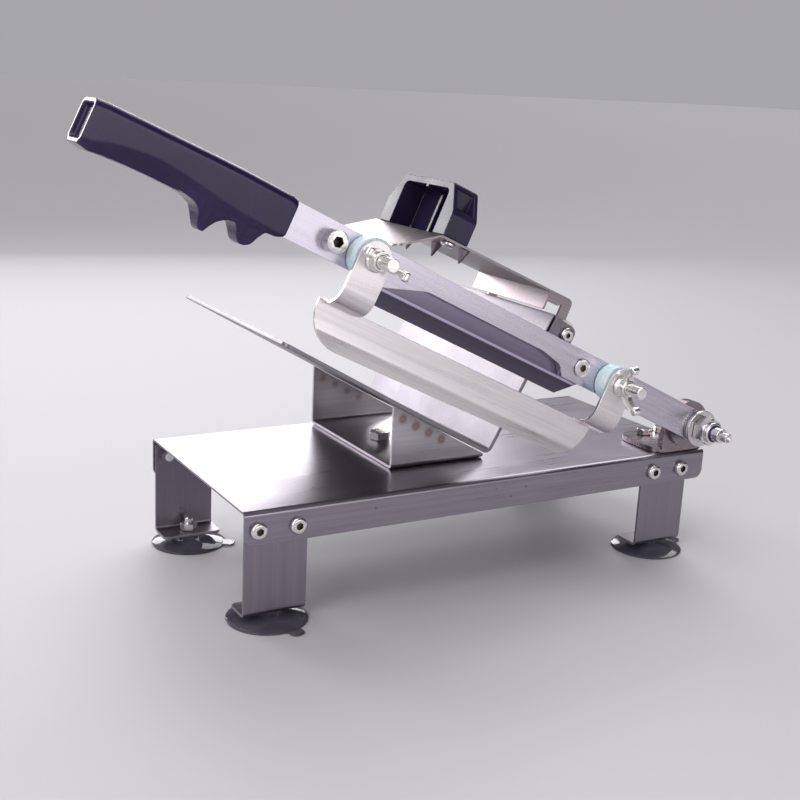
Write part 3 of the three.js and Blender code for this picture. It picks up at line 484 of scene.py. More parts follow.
def clouded(name, scale, dark, light, gloss, dull, low=0.3):
    """A material whose colour and gloss drift in soft clouds"""
    material = bpy.data.materials.new(name)
    material.use_nodes = True
    nodes, links = material.node_tree.nodes, material.node_tree.links
    shader = nodes["Principled BSDF"]
    place = nodes.new("ShaderNodeTexCoord")
    cloud = nodes.new("ShaderNodeTexNoise")
    cloud.inputs["Scale"].default_value = scale
    links.new(place.outputs["Object"], cloud.inputs["Vector"])
    fac = cloud.outputs["Fac"]
    links.new(blend_of(nodes, links, fac, low, 0.7, dark, light), shader.inputs["Base Color"])
    links.new(span_of(nodes, links, fac, 0.3, 0.7, gloss, dull), shader.inputs["Roughness"])
    return material, shader.inputs


vinyl, vinyl_inputs = clouded("smoky_vinyl", 60, (0.16, 0.15, 0.20), (0.26, 0.25, 0.31), 0.04, 0.12)
vinyl_inputs["Transmission Weight"].default_value = 0.7
vinyl_inputs["IOR"].default_value = 1.45

cup = begin("cup", bpy.ops.mesh.primitive_circle_add, vertices=72, radius=22.5)
for scale, rise in ((25 / 22.5, 0), (1, 0.9), (23.1 / 25, 0.9), (17.6 / 23.1, 1.3), (12 / 17.6, 1.3),
                    (8.6 / 12, 0.9), (8 / 8.6, 0.7), (1, 1.1), (3.4 / 8, 0), (1, -2.9)):
    bpy.ops.mesh.extrude_edges_move(TRANSFORM_OT_translate={"value": (0, 0, rise)})
    bpy.ops.transform.resize(value=(scale, scale, 1))
bpy.ops.mesh.edge_face_add()
choose("EDGE", lambda p: abs(p.z) < 0.01 and hypot(p.x, p.y) < 22.6)
for scale, rise in ((19.5 / 22.5, 0.6), (12.5 / 19.5, 1.1), (5 / 12.5, 0.3)):
    bpy.ops.mesh.extrude_edges_move(TRANSFORM_OT_translate={"value": (0, 0, rise)})
    bpy.ops.transform.resize(value=(scale, scale, 1))
bpy.ops.mesh.edge_face_add()
bpy.ops.mesh.select_all(action="SELECT")
bpy.ops.mesh.normals_make_consistent(inside=False)
soften(cup, 0.25, sharp=50)
tab = begin("tab", bpy.ops.mesh.primitive_plane_add, size=1)
bpy.ops.transform.resize(value=(10, 9.5, 1))
bpy.ops.transform.translate(value=(27, 0, 1.4))
choose("VERT", lambda p: p.x > 30)
bpy.ops.mesh.bevel(offset=3.6, segments=8, affect="VERTICES")
modify(tab, "SOLIDIFY", thickness=1.1, offset=-1)
soften(tab, 0.4, steps=3)

stud = begin("stud", bpy.ops.mesh.primitive_cylinder_add, vertices=32, radius=3, depth=14.6,
             location=(0, 0, 3.9 + 7.3))
soften(stud, 0.6, steps=1)


def hex_nut(name, flats, height, bore=0):
    """A hexagon whose corners are turned off at both ends, with a bore where a bolt passes"""
    nut = begin(name, bpy.ops.mesh.primitive_cylinder_add, vertices=6, radius=flats / 3 ** 0.5, depth=height)
    turned_off = begin("turned_off", bpy.ops.mesh.primitive_cylinder_add, vertices=96,
                       radius=flats / 3 ** 0.5, depth=height)
    choose("FACE", lambda p: abs(p.z) > height / 2 - 0.01)
    bpy.ops.mesh.bevel(offset=flats * 0.09, segments=3, affect="EDGES")
    carve(nut, turned_off, "INTERSECT")
    if bore:
        hole = begin("hole", bpy.ops.mesh.primitive_cylinder_add, vertices=48, radius=bore, depth=height * 2)
        carve(nut, hole)
    soften(nut, 0.2)
    return nut


def hex_bolt(name, flats, height, radius, length, edge, sides):
    """A hexagon head with a plain shank under it"""
    shank = begin("shank", bpy.ops.mesh.primitive_cylinder_add, vertices=sides, radius=radius,
                  depth=length, location=(0, 0, 1 - length / 2))
    soften(shank, edge, steps=1)
    return gather(hex_nut(name, flats, height), shank)


foot_nut = hex_nut("foot_nut", 10, 5, bore=3.1)
tab_turns = {"front_left": -75, "front_right": 5, "rear_left": 330, "rear_right": 370}
ground = -73.7
for corner, along, depth, spin in corners:
    middle = depth + (12.8 if spin == 0 else -12.8)
    bell = twin(cup, "bell_" + corner, (along, middle, ground))
    pull_tab = twin(tab, "pull_tab_" + corner, (along, middle, ground), spin=radians(tab_turns[corner]))
    gather(bell, pull_tab)
    finish(bell, "base", "smoky_vinyl", vinyl, "suction_cup_" + corner)
    foot_stud = twin(stud, "foot_stud_" + corner, (along, middle, ground))
    finish(foot_stud, "base", "fastener_steel", bright, "cup_stud_" + corner)
    nut = twin(foot_nut, "foot_nut_" + corner, (along, middle, -stand_height + 4.8), spin=radians(12))
    finish(nut, "base", "fastener_steel", bright, "cup_nut_" + corner)
for used in (leg_strip, button_screw, cup, tab, stud, foot_nut):
    bpy.data.objects.remove(used)

# Channel: bent stainless steel, 2 mm thick, with slanted top edges that the trough is spot welded
# to. Two M8 bolts hold its floor on the table, and heat has tinted the steel round its lower welds.
tilt = radians(29)
channel_left, channel_front, channel_rear, channel_height, channel_length = 118, 39, 156.6, 42.7, 71


def cut_copy(name, node, edge, sharp=35):
    """A copy of a cut CAD piece with its faces whole again and its sharp edges broken"""
    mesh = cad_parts[node].data.copy()
    piece = bpy.data.objects.new(name, mesh)
    bpy.context.scene.collection.objects.link(piece)
    only(piece)
    bpy.ops.object.mode_set(mode="EDIT")
    bpy.ops.mesh.select_all(action="SELECT")
    bpy.ops.mesh.remove_doubles(threshold=0.000002)
    bpy.ops.mesh.dissolve_limited(angle_limit=radians(0.5))
    bpy.ops.object.mode_set(mode="OBJECT")
    soften(piece, edge / 1000, sharp=sharp)
    return piece


channel = begin("channel_sheet", bpy.ops.mesh.primitive_plane_add, size=1)
bpy.ops.transform.resize(value=(channel_length, channel_rear - channel_front, 1))
bpy.ops.transform.translate(
    value=(channel_left + channel_length / 2, (channel_front + channel_rear) / 2, 0.3))
bpy.ops.mesh.flip_normals()
pull("EDGE", lambda p: p.y < channel_front + 1, (0, 0, channel_height))
pull("EDGE", lambda p: p.y > channel_rear - 1, (0, 0, channel_height))
choose("EDGE", lambda p: p.z < 1 and abs(p.y - 97.8) > 50 and abs(p.x - 153.5) < 1)
bpy.ops.mesh.bevel(offset=3.5, segments=6)
bpy.ops.mesh.select_all(action="SELECT")
bpy.ops.mesh.bisect(plane_co=(channel_left, 0, channel_height), plane_no=(sin(tilt), 0, cos(tilt)),
                    clear_outer=True)
modify(channel, "SOLIDIFY", thickness=2, offset=-1)
soften(channel, 0.35)
settle(channel)
channel_finish = brushed("channel_steel", (0.48, 0.45, 0.48), (0.58, 0.55, 0.58), 0.35)


def add_heat(material, spots, reach):
    """Browns the steel round each weld spot and pales the middle of the spot"""
    nodes, links = material.node_tree.nodes, material.node_tree.links
    socket = nodes["Principled BSDF"].inputs["Base Color"]
    place = nodes.new("ShaderNodeTexCoord")
    nearest = None
    for spot in spots:
        distance = nodes.new("ShaderNodeVectorMath")
        distance.operation = "DISTANCE"
        distance.inputs[1].default_value = spot
        links.new(place.outputs["Object"], distance.inputs[0])
        if nearest:
            least = nodes.new("ShaderNodeMath")
            least.operation = "MINIMUM"
            links.new(nearest, least.inputs[0])
            links.new(distance.outputs["Value"], least.inputs[1])
            nearest = least.outputs["Value"]
        else:
            nearest = distance.outputs["Value"]
    ring = nodes.new("ShaderNodeValToRGB")
    ramp = ring.color_ramp
    ramp.elements[0].color = (0.50, 0.50, 0.50, 1)
    ramp.elements[1].color = (0, 0, 0, 1)
    edge = ramp.elements.new(0.35)
    edge.color = (1, 1, 1, 1)
    links.new(span_of(nodes, links, nearest, 0, reach, 0, 1), ring.inputs["Fac"])
    over = nodes.new("ShaderNodeMix")
    over.data_type = "RGBA"
    over.inputs["B"].default_value = (0.30, 0.21, 0.17, 1)
    links.new(ring.outputs["Color"], over.inputs["Factor"])
    links.new(socket.links[0].from_socket, over.inputs["A"])
    links.new(over.outputs["Result"], socket)


weld_spots = [origin + Vector((channel_left + offset, depth, rise)) / 1000
              for offset, rise in ((7, 33.5), (17, 28), (27, 22.5), (37, 17))
              for depth in (channel_front, channel_rear)]
add_heat(channel_finish, weld_spots, 0.0042)
finish(channel, "base", "sheet_steel", channel_finish, "trough_channel")

channel_bolt = hex_bolt("channel_bolt_head", flats=13, height=5.3, radius=4, length=16, edge=0.6, sides=40)
channel_nut = hex_nut("channel_nut", 13, 6.5, bore=4.1)
bolt_depth = 97.8
for number, along, turn in ((1, 142, 20), (2, 168, 47)):
    bolt = twin(channel_bolt, f"channel_bolt_head_{number}", (along, bolt_depth, 5.25), spin=radians(turn))
    finish(bolt, "base", "fastener_steel", bright, f"channel_bolt_{number}")
    nut = twin(channel_nut, f"hex_nut_{number}", (along, bolt_depth, -5.05), spin=radians(turn + 11))
    finish(nut, "base", "fastener_steel", bright, f"channel_nut_{number}")
for used in (channel_bolt, channel_nut):
    bpy.data.objects.remove(used)

# Trough: one stainless sheet, 2.5 mm thick, bent at a right angle into a floor and a wall that lean
# with the arm. Two ears behind the wall carry the guide rod of the presser.
trough_spot = (channel_left, 0, channel_height + 0.3 / cos(tilt))
trough_left, trough_right, wall_height, sheet = -110, 54.5, 98.8, 2.5
trough = begin("trough_sheet", bpy.ops.mesh.primitive_plane_add, size=1)
bpy.ops.transform.resize(value=(trough_right - trough_left, 160.5, 1))
bpy.ops.transform.translate(value=((trough_left + trough_right) / 2, 79.25, 0))
bpy.ops.mesh.flip_normals()
pull("EDGE", lambda p: p.x > trough_right - 0.5, (0, 0, wall_height))
choose("EDGE", lambda p: p.z < 1 and p.x > trough_right - 0.5)
bpy.ops.mesh.bevel(offset=5, segments=8)
choose("VERT", lambda p: p.x < trough_left + 1)
bpy.ops.mesh.bevel(offset=5, segments=6, affect="VERTICES")
modify(trough, "SOLIDIFY", thickness=sheet, offset=-1)
notch = begin("notch", bpy.ops.mesh.primitive_cube_add, size=1)
bpy.ops.transform.resize(value=(10, 5.6, 60))
bpy.ops.transform.translate(value=(53, 0, 62.2 + 30))
carve(trough, notch)
soften(trough, 0.4)
sides = []
for front in (2.8, 157):
    ear = begin("ear", bpy.ops.mesh.primitive_plane_add, size=1, rotation=(pi / 2, 0, 0))
    bpy.ops.transform.resize(value=(23, 1, 36))
    bpy.ops.transform.translate(value=(63.5, front, 80.2))
    choose("VERT", lambda p: p.x > 70)
    bpy.ops.mesh.bevel(offset=5, segments=6, affect="VERTICES")
    modify(ear, "SOLIDIFY", thickness=sheet, offset=-1)
    soften(ear, 0.35)
    sides.append(ear)
gather(trough, *sides)
settle(trough, trough_spot, tilt)
trough_finish = brushed("trough_steel", (0.20, 0.185, 0.21), (0.27, 0.25, 0.28), 0.38)
add_specks(trough_finish, (0.20, 0.15, 0.18))
finish(trough, "base", "sheet_steel", trough_finish, "trough")

# Guide rod: a ground round bar between the ears, with a small button head screw into each end.
rod_along, rod_rise = 67.9, 91.4
rod = round_along("round_rod", 5, 5.6, 156.7, 0.5, steps=1, sides=64, across=(rod_along, rod_rise))
settle(rod, trough_spot, tilt)
rod_finish = brushed("rod_steel", (0.42, 0.40, 0.45), (0.72, 0.70, 0.72), 0.2, turn=(0, 0, pi / 2))
finish(rod, "base", "bar_steel", rod_finish, "guide_rod")
rod_screw = socket_screw("rod_screw", radius=4.75, seat=0, height=2.6, rounding=2.2, steps=7,
                         hexagon=1.75, deep=1.3)
rod_x = channel_left + rod_along * cos(tilt) + rod_rise * sin(tilt)
rod_z = trough_spot[2] - rod_along * sin(tilt) + rod_rise * cos(tilt)
for end, depth, spin in (("front", 2.5, 0), ("rear", 159.8, pi)):
    screw = twin(rod_screw, "rod_end_screw_" + end, (rod_x, depth, rod_z), spin=spin)
    finish(screw, "base", "fastener_steel", bright, "rod_screw_" + end)
bpy.data.objects.remove(rod_screw)

# Presser sleeve: an off-white nylon tube that slides on the rod, with a collar in front. A push-on
# steel ring behind keeps the presser plate on it.
presser_spot, presser_tilt = (rod_x, 0, rod_z), radians(23.5)
sleeve = round_along("nylon_tube", 7, 5.9, 93.3, sides=72)
carve(sleeve, round_along("collar", 9, 5.9, 7.9, sides=72), "UNION")
carve(sleeve, round_along("bore", 5.3, -10.4, 109.6, sides=72))
soften(sleeve, 0.35)
settle(sleeve, presser_spot, presser_tilt)
nylon = clouded("off_white_nylon", 90, (0.70, 0.67, 0.61), (0.80, 0.78, 0.73), 0.38, 0.52, low=0.35)[0]
finish(sleeve, "slider", "nylon", nylon, "presser_sleeve")
clip = round_along("push_on_ring", 9, 90.5, 93, sides=72)
carve(clip, round_along("hole", 7.1, 87.25, 96.25, sides=72))
soften(clip, 0.3)
settle(clip, presser_spot, presser_tilt)
finish(clip, "slider", "bar_steel", rod_finish, "sleeve_ring")

# Presser plate: stainless sheet with a bent leaf at its free end and its other end bent down, two
# hinge ears that turn on the sleeve, and three spikes. Two screws from below hold the grip.
press_plate = cut_copy("spiked_plate", "presser_plate", 0.3)
press_finish = brushed("presser_steel", (0.27, 0.235, 0.25), (0.36, 0.32, 0.33), 0.34,
                       turn=(0, -presser_tilt, 0))
add_specks(press_finish, (0.22, 0.16, 0.20))
finish(press_plate, "presser", "sheet_steel", press_finish, "presser_plate")

# Presser grip: a hollow black moulding with sloping ends. Its side is open to the plate, with a rib
# in the middle, and each sloping end has a pocket inside a 3 mm rim.
grip_middle, grip_base = (-101.4, 49.2), 22.8
grip = begin("hollow_grip", bpy.ops.mesh.primitive_cube_add, size=1, scale=(19.2, 79.4, 33),
             location=(*grip_middle, grip_base + 16.5))
bpy.ops.mesh.select_all(action="SELECT")
bpy.ops.mesh.bisect(plane_co=(0, 0, grip_base + 15), plane_no=(0, 0, 1))
choose("VERT", lambda p: p.z > grip_base + 30)
bpy.ops.transform.resize(value=(1, 56.4 / 79.4, 1))
choose("EDGE", lambda p: p.z > grip_base + 10 and abs(p.x - grip_middle[0]) < 1)
bpy.ops.mesh.bevel(offset=1.8, segments=4)
for side in (-1, 1):
    recess = begin("recess", bpy.ops.mesh.primitive_cube_add, size=1, scale=(18, 25, 40),
                   location=(-103.8, 49.2 + side * 14, grip_base + 8.5))
    choose("EDGE", lambda p: p.z > grip_base + 20 and (p.y - 49.2) * side > 20 and abs(p.x + 103.8) < 1)
    bpy.ops.mesh.bevel(offset=4, segments=6)
    carve(grip, recess)
    lean_in = side * atan2(11.5, 18)
    pocket = begin("pocket", bpy.ops.mesh.primitive_cube_add, size=1, scale=(13.2, 14, 15.36),
                   rotation=(lean_in, 0, 0),
                   location=(-101.4, 49.2 + side * 39.7 - sin(lean_in) * 10.68,
                             grip_base + 15 + cos(lean_in) * 10.68))
    bpy.ops.mesh.select_all(action="SELECT")
    bpy.ops.mesh.bisect(plane_co=(0, 49.2 + side * 28.7, 0), plane_no=(0, side, 0), clear_inner=True,
                        use_fill=True)
    carve(grip, pocket)
rib_step = begin("rib_step", bpy.ops.mesh.primitive_cube_add, size=1, scale=(13, 6, 26),
                 location=(-104.7, 49.2, grip_base + 14))
carve(grip, rib_step)
soften(grip, 0.8, steps=3, sharp=28)
settle(grip, presser_spot, presser_tilt)


def moulded(name, dark, light, rough, relief):
    """Glossy moulded plastic with a faint mottle, fine pits and soft handling marks"""
    material = bpy.data.materials.new(name)
    material.use_nodes = True
    nodes, links = material.node_tree.nodes, material.node_tree.links
    shader = nodes["Principled BSDF"]
    shader.inputs["Specular IOR Level"].default_value = 0.36
    place = nodes.new("ShaderNodeTexCoord")
    cloud = nodes.new("ShaderNodeTexNoise")
    cloud.inputs["Scale"].default_value = 35
    cloud.inputs["Detail"].default_value = 5
    pits = nodes.new("ShaderNodeTexNoise")
    pits.inputs["Scale"].default_value = 900
    for noise in (cloud, pits):
        links.new(place.outputs["Object"], noise.inputs["Vector"])
    links.new(blend_of(nodes, links, cloud.outputs["Fac"], 0.35, 0.7, dark, light),
              shader.inputs["Base Color"])
    links.new(span_of(nodes, links, cloud.outputs["Fac"], 0.3, 0.7, rough - 0.05, rough + 0.07),
              shader.inputs["Roughness"])
    bump = nodes.new("ShaderNodeBump")
    bump.inputs["Strength"].default_value = relief
    bump.inputs["Distance"].default_value = 0.0002
    links.new(pits.outputs["Fac"], bump.inputs["Height"])
    links.new(bump.outputs["Normal"], shader.inputs["Normal"])
    return material


grip_finish = moulded("grip_black", (0.014, 0.010, 0.034), (0.024, 0.017, 0.052), 0.26, 0.04)
finish(grip, "presser", "black_plastic", grip_finish, "presser_grip")
grip_screw = begin("grip_screw", bpy.ops.mesh.primitive_cylinder_add, vertices=56, radius=4.5, depth=2.4,
                   location=(0, 0, -1.2))
choose("FACE", lambda p: p.z < -2.3)
bpy.ops.mesh.bevel(offset=2.1, offset_type="WIDTH", segments=6, affect="EDGES")
carve(grip_screw, begin("socket", bpy.ops.mesh.primitive_cylinder_add, vertices=6, radius=1.75, depth=3,
                        location=(0, 0, -2.7)))
paint_socket_shade(grip_screw, lambda p: hypot(p.x, p.y) < 1.74 and p.z > -2.35)
soften(grip_screw, 0.2)
for number, side in ((1, -1), (2, 1)):
    out = Vector((grip_middle[0], 0, 20.7))
    out.rotate(Matrix.Rotation(presser_tilt, 3, "Y"))
    spot = (rod_x + out.x, grip_middle[1] + side * 32.9, rod_z + out.z)
    screw = twin(grip_screw, f"grip_button_screw_{number}", spot, tilt=presser_tilt)
    finish(screw, "presser", "fastener_steel", bright, f"grip_screw_{number}")
bpy.data.objects.remove(grip_screw)

# Pivot bracket: a thick stainless plate with rounded corners on the table, and an upright welded to
# it that ends in a round boss. Two bolts hold it in the weld nuts under the table.
bracket = cut_copy("bracket_with_boss", "pivot_bracket", 0.5)
bracket_finish = brushed("bracket_steel", (0.24, 0.195, 0.215), (0.36, 0.30, 0.32), 0.24, turn=(0, 0, 0.3))
finish(bracket, "base", "bar_steel", bracket_finish, "pivot_bracket")
bracket_bolt = hex_bolt("bracket_bolt_head", flats=10, height=4, radius=3, length=12, edge=0.5, sides=32)
for number, along, turn in ((1, 327, 8), (2, 343, 33)):
    bolt = twin(bracket_bolt, f"hex_bolt_{number}", (along, 36, 6.1), spin=radians(turn))
    finish(bolt, "base", "fastener_steel", bright, f"bracket_bolt_{number}")
bpy.data.objects.remove(bracket_bolt)

# Pivot: a long bolt through the boss, a spacer, the arm, a dark and a bright washer and a lock nut
# with a blue nylon insert. The end of the bolt is turned down to a point with a centre dimple.
pivot = (334.4, 0, 20.2)
spacer = round_along("spacer", 11, -4.3, -0.8, 0.4)
settle(spacer, pivot)
finish(spacer, "base", "bar_steel", rod_finish, "pivot_spacer")
washer = round_along("bright_washer", 12.8, -13.5, -11, 0.5)
thin_washer = round_along("dark_washer", 12, -10.8, -9.9, 0.2)
gather(washer, thin_washer)
settle(washer, pivot)
washer_finish = brushed("washer_steel", (0.60, 0.57, 0.58), (0.86, 0.84, 0.83), 0.2, turn=(0, 0, 0.8))
finish(washer, "base", "fastener_steel", washer_finish, "pivot_washer")

pivot_nut = hex_nut("lock_nut", 17, 9)
modify(pivot_nut, "WELD")
put(pivot_nut, (pi / 2, 0, 0), (0, -18.3, 0))
nut_collar = round_along("nut_collar", 7.4, -25.8, -22.7, 1.1, steps=4)
gather(pivot_nut, nut_collar)
settle(pivot_nut, pivot)
finish(pivot_nut, "base", "fastener_steel", bright, "pivot_nut")
insert = begin("nylon_insert", bpy.ops.mesh.primitive_torus_add, major_segments=72, minor_segments=16,
               major_radius=5.45, minor_radius=0.6, location=(0, -25.75, 0), rotation=(pi / 2, 0, 0))
bpy.ops.object.mode_set(mode="OBJECT")
bpy.ops.object.shade_smooth()
settle(insert, pivot)
insert_finish = moulded("blue_insert", (0.010, 0.014, 0.07), (0.016, 0.025, 0.11), 0.35, 0.03)
finish(insert, "base", "nylon", insert_finish)

pivot_bolt = round_along("long_bolt", 5, -32.8, 9, 0.7)
point = round_along("point", 3.3, -38.8, -30.8, sides=64)
choose("FACE", lambda p: p.y < -38.7)
bpy.ops.mesh.inset(thickness=1.3)
bpy.ops.mesh.extrude_region_move(TRANSFORM_OT_translate={"value": (0, 1.6, 0)})
bpy.ops.transform.resize(value=(0.45, 1, 0.45))
soften(point, 0.35)
head = hex_nut("bolt_head", 17, 6.4)
put(head, (pi / 2, 0, 0), (0, 11, 0))
gather(pivot_bolt, point, head)
settle(pivot_bolt, pivot)
finish(pivot_bolt, "base", "fastener_steel", bright, "pivot_bolt")

# Arm: a ground flat steel bar, 21 mm wide and 5 mm thick, with a round end at the pivot. Its lower
# edge is cut back over the blade.
arm_tilt = radians(25.2)
arm_bar = cut_copy("flat_bar", "arm_bar", 0.45)
arm_finish = brushed("arm_steel", (0.57, 0.53, 0.61), (0.67, 0.63, 0.70), 0.28, turn=(0, -arm_tilt, 0))
finish(arm_bar, "arm", "bar_steel", arm_finish, "arm_bar")

# Handle: black plastic moulded over the tang of the bar. It is a rounded bar with a sloping facet
# along its lower edges, a flared butt with a raised rim round its hollow end, and two finger hooks.
butt_end, collar_end, arm_middle = -469.5, -350.8, -7.1
handle = begin("handle_moulding", bpy.ops.mesh.primitive_cube_add, size=1,
               scale=(collar_end - butt_end, 24, 20), location=((butt_end + collar_end) / 2, arm_middle, 0))
bpy.ops.mesh.select_all(action="SELECT")
bpy.ops.mesh.bisect(plane_co=(0, 0, -5), plane_no=(0, 0, 1))
sections = (
    (butt_end, -14.6, -11.5, 9.0, 0.72), (-463, -15.8, -11, 9.7, 0.72), (-455.6, -14.8, -8.1, 9.9, 0.6),
    (-443, -13.9, -5.6, 10.3, 0.5), (-430, -13.5, -4.4, 10.6, 0.48), (-415, -13.5, -5.4, 11, 0.48),
    (-399, -13.8, -7.4, 11.4, 0.55), (-385, -13.8, -9.4, 11.6, 0.7), (-355, -12.6, -10.8, 11.3, 0.8),
    (collar_end, -11, -9.6, 10.2, 0.8))
for along, low, facet, high, narrow in sections[1:-1]:
    bpy.ops.mesh.select_all(action="SELECT")
    bpy.ops.mesh.bisect(plane_co=(along, 0, 0), plane_no=(1, 0, 0))
for along, low, facet, high, narrow in sections:
    choose("VERT", lambda p: abs(p.x - along) < 0.1 and p.z > 9)
    bpy.ops.transform.translate(value=(0, 0, high - 10))
    choose("VERT", lambda p: abs(p.x - along) < 0.1 and p.z < -9)
    bpy.ops.transform.translate(value=(0, 0, low + 10))
    bpy.ops.transform.resize(value=(1, narrow, 1), center_override=(0, arm_middle, 0))
    choose("VERT", lambda p: abs(p.x - along) < 0.1 and abs(p.z + 5) < 0.1)
    bpy.ops.transform.translate(value=(0, 0, facet + 5))
choose("EDGE", lambda p: p.z > 8.5 and abs(abs(p.y - arm_middle) - 12) < 0.1
       and all(abs(p.x - part[0]) > 0.1 for part in sections))
bpy.ops.mesh.bevel(offset=4, segments=5)
choose("FACE", lambda p: p.x < butt_end + 0.1)
bpy.ops.mesh.inset(thickness=2.4)
bpy.ops.mesh.extrude_region_move(TRANSFORM_OT_translate={"value": (3, 0, 0)})
bpy.ops.transform.resize(value=(1, 0.86, 0.88))


def ribbon(name, depth, columns):
    """An upright strip across X at one depth, whose two corners in each column are put in place"""
    piece = begin(name, bpy.ops.mesh.primitive_grid_add, x_subdivisions=len(columns) - 1, y_subdivisions=1,
                  size=1, location=(0, depth, 0), rotation=(pi / 2, 0, 0))
    for number, corners_of_column in enumerate(columns):
        from_x = number / (len(columns) - 1) - 0.5
        for from_z, (along, rise) in zip((0.5, -0.5), corners_of_column):
            choose("VERT", lambda p: abs(p.x - from_x) < 0.001 and abs(p.z - from_z) < 0.001)
            bpy.ops.transform.translate(value=(along - from_x, 0, rise - from_z))
    return piece


hook_profile = (
    (-413, -13), (-408, -13.6), (-403.5, -14.6), (-400.3, -16.2), (-398.4, -19), (-396.8, -22.5),
    (-395.2, -25.4), (-393.6, -26.6), (-391.4, -26.5), (-390.2, -24.6), (-389.2, -21.9), (-387.4, -19),
    (-385, -17.2), (-382, -15.5), (-379, -15.1), (-377, -16.1), (-375.6, -18.2), (-374.3, -20.7),
    (-372.4, -23), (-370.2, -24), (-367.4, -23.8), (-365, -22.2), (-363.4, -19.6), (-362.3, -16.2),
    (-360.6, -13), (-359, -12))
hooks = ribbon("finger_hooks", arm_middle, [((along, -8.5), (along, low)) for along, low in hook_profile])
modify(hooks, "SOLIDIFY", thickness=19.5, offset=0)
bpy.ops.object.mode_set(mode="EDIT")
for level, narrow in ((-12.5, 0.92), (-16, 0.86), (-19.5, 0.82), (-23, 0.8)):
    choose("VERT", lambda p: p.z < level)
    bpy.ops.transform.resize(value=(1, narrow, 1), center_override=(0, arm_middle, 0))
bpy.ops.object.mode_set(mode="OBJECT")
carve(handle, hooks, "UNION")
tang_hole = begin("tang_hole", bpy.ops.mesh.primitive_cube_add, size=1, scale=(99, 5.4, 16.6),
                  location=(-400.5, arm_middle, 0))
carve(handle, tang_hole)
modify(handle, "REMESH", mode="VOXEL", voxel_size=0.5)
modify(handle, "SMOOTH", factor=0.5, iterations=9)
bpy.ops.object.shade_smooth()
settle(handle, pivot, arm_tilt)
handle_finish = moulded("handle_black", (0.017, 0.009, 0.046), (0.025, 0.015, 0.064), 0.25, 0.05)
finish(handle, "arm", "black_plastic", handle_finish, "handle_grip")

# Blade: a hard steel strip behind the arm, with a narrow ground facet and a wide bevel down to the
# cutting edge. A tall cap screw at the handle end and a flat one near the pivot hold it.
blade = cut_copy("ground_blade", "blade", 0.12, sharp=25)
blade_finish = brushed("blade_steel", (0.56, 0.49, 0.68), (0.64, 0.57, 0.75), 0.22, turn=(0, -arm_tilt, 0))
# The blade's base colour is multiplied by a ramp across its height: a painted highlight along the ground
# facet, and painted shade above it and down the bevel to the edge
blade_nodes, blade_links = blade_finish.node_tree.nodes, blade_finish.node_tree.links
blade_place = blade_nodes.new("ShaderNodeTexCoord")
blade_height = blade_nodes.new("ShaderNodeVectorMath")
blade_height.operation = "DOT_PRODUCT"
across = Vector((sin(arm_tilt), 0, cos(arm_tilt))) * 1000
blade_height.inputs[1].default_value = across
blade_links.new(blade_place.outputs["Object"], blade_height.inputs[0])
bar_middle = across.dot(origin + Vector(pivot) / 1000)
facet_highlight_ramp = blade_nodes.new("ShaderNodeValToRGB")
for position, tone in ((0.42, 0.15), (0.435, 0.9), (0.49, 1), (0.505, 0.32)):
    stop = facet_highlight_ramp.color_ramp.elements.new(position)
    stop.color = (tone, tone, tone, 1)
facet_highlight_ramp.color_ramp.elements[0].color = (0.20, 0.20, 0.20, 1)
facet_highlight_ramp.color_ramp.elements[-1].color = (0.42, 0.42, 0.42, 1)
blade_links.new(span_of(blade_nodes, blade_links, blade_height.outputs["Value"],
                        bar_middle - 21.7, bar_middle, 0, 1), facet_highlight_ramp.inputs["Fac"])
painted_light_over = blade_nodes.new("ShaderNodeMix")
painted_light_over.data_type = "RGBA"
painted_light_over.blend_type = "MULTIPLY"
painted_light_over.inputs["Factor"].default_value = 1
blade_colour = blade_nodes["Principled BSDF"].inputs["Base Color"]
blade_links.new(blade_colour.links[0].from_socket, painted_light_over.inputs["A"])
blade_links.new(facet_highlight_ramp.outputs["Color"], painted_light_over.inputs["B"])
blade_links.new(painted_light_over.outputs["Result"], blade_colour)
finish(blade, "arm", "blade_steel", blade_finish, "blade")
blade_face = -9.9
for name, node, along, radius, height, socket_size in (
        ("tall_cap_screw", "blade_screw_left", -320, 6.5, 8, 3.4),
        ("flat_cap_screw", "blade_screw_right", -118.8, 6, 1.5, 2.5)):
    screw = round_along(name, radius, blade_face - height, blade_face, 0.55, steps=3, across=(along, 0))
    socket = begin("socket", bpy.ops.mesh.primitive_cylinder_add, vertices=6, radius=socket_size,
                   depth=height * 1.2, location=(along, blade_face - height, 0), rotation=(pi / 2, 0.3, 0))
    carve(screw, socket)
    paint_socket_shade(screw, lambda p: (hypot(p.x - along, p.z) < socket_size - 0.01
                                   and p.y > blade_face - height + 0.1))
    if height > 2:
        shank = round_along("shank", 3, -10, -4.2, 0.2, across=(along, 0))
        gather(screw, shank)
    settle(screw, pivot, arm_tilt)
    finish(screw, "arm", "fastener_steel", bright, node)

# Thickness plate: a bent stainless plate on two straps in front of the blade. Each strap sits on a
# stud of the arm between a pale blue silicone ring and a wing nut, and sliding it sets the slice.
gauge_plate = cut_copy("slice_gauge", "thickness_plate", 0.35)
gauge_finish = brushed("gauge_steel", (0.76, 0.71, 0.72), (0.88, 0.83, 0.83), 0.31, turn=(0, -arm_tilt, 0))
finish(gauge_plate, "gauge", "sheet_steel", gauge_finish, "thickness_plate")

silicone, soft_inputs = clouded("pale_blue_silicone", 120, (0.62, 0.85, 0.92), (0.86, 0.95, 0.97), 0.22, 0.36)
soft_inputs["Transmission Weight"].default_value = 0.12
soft_inputs["IOR"].default_value = 1.41


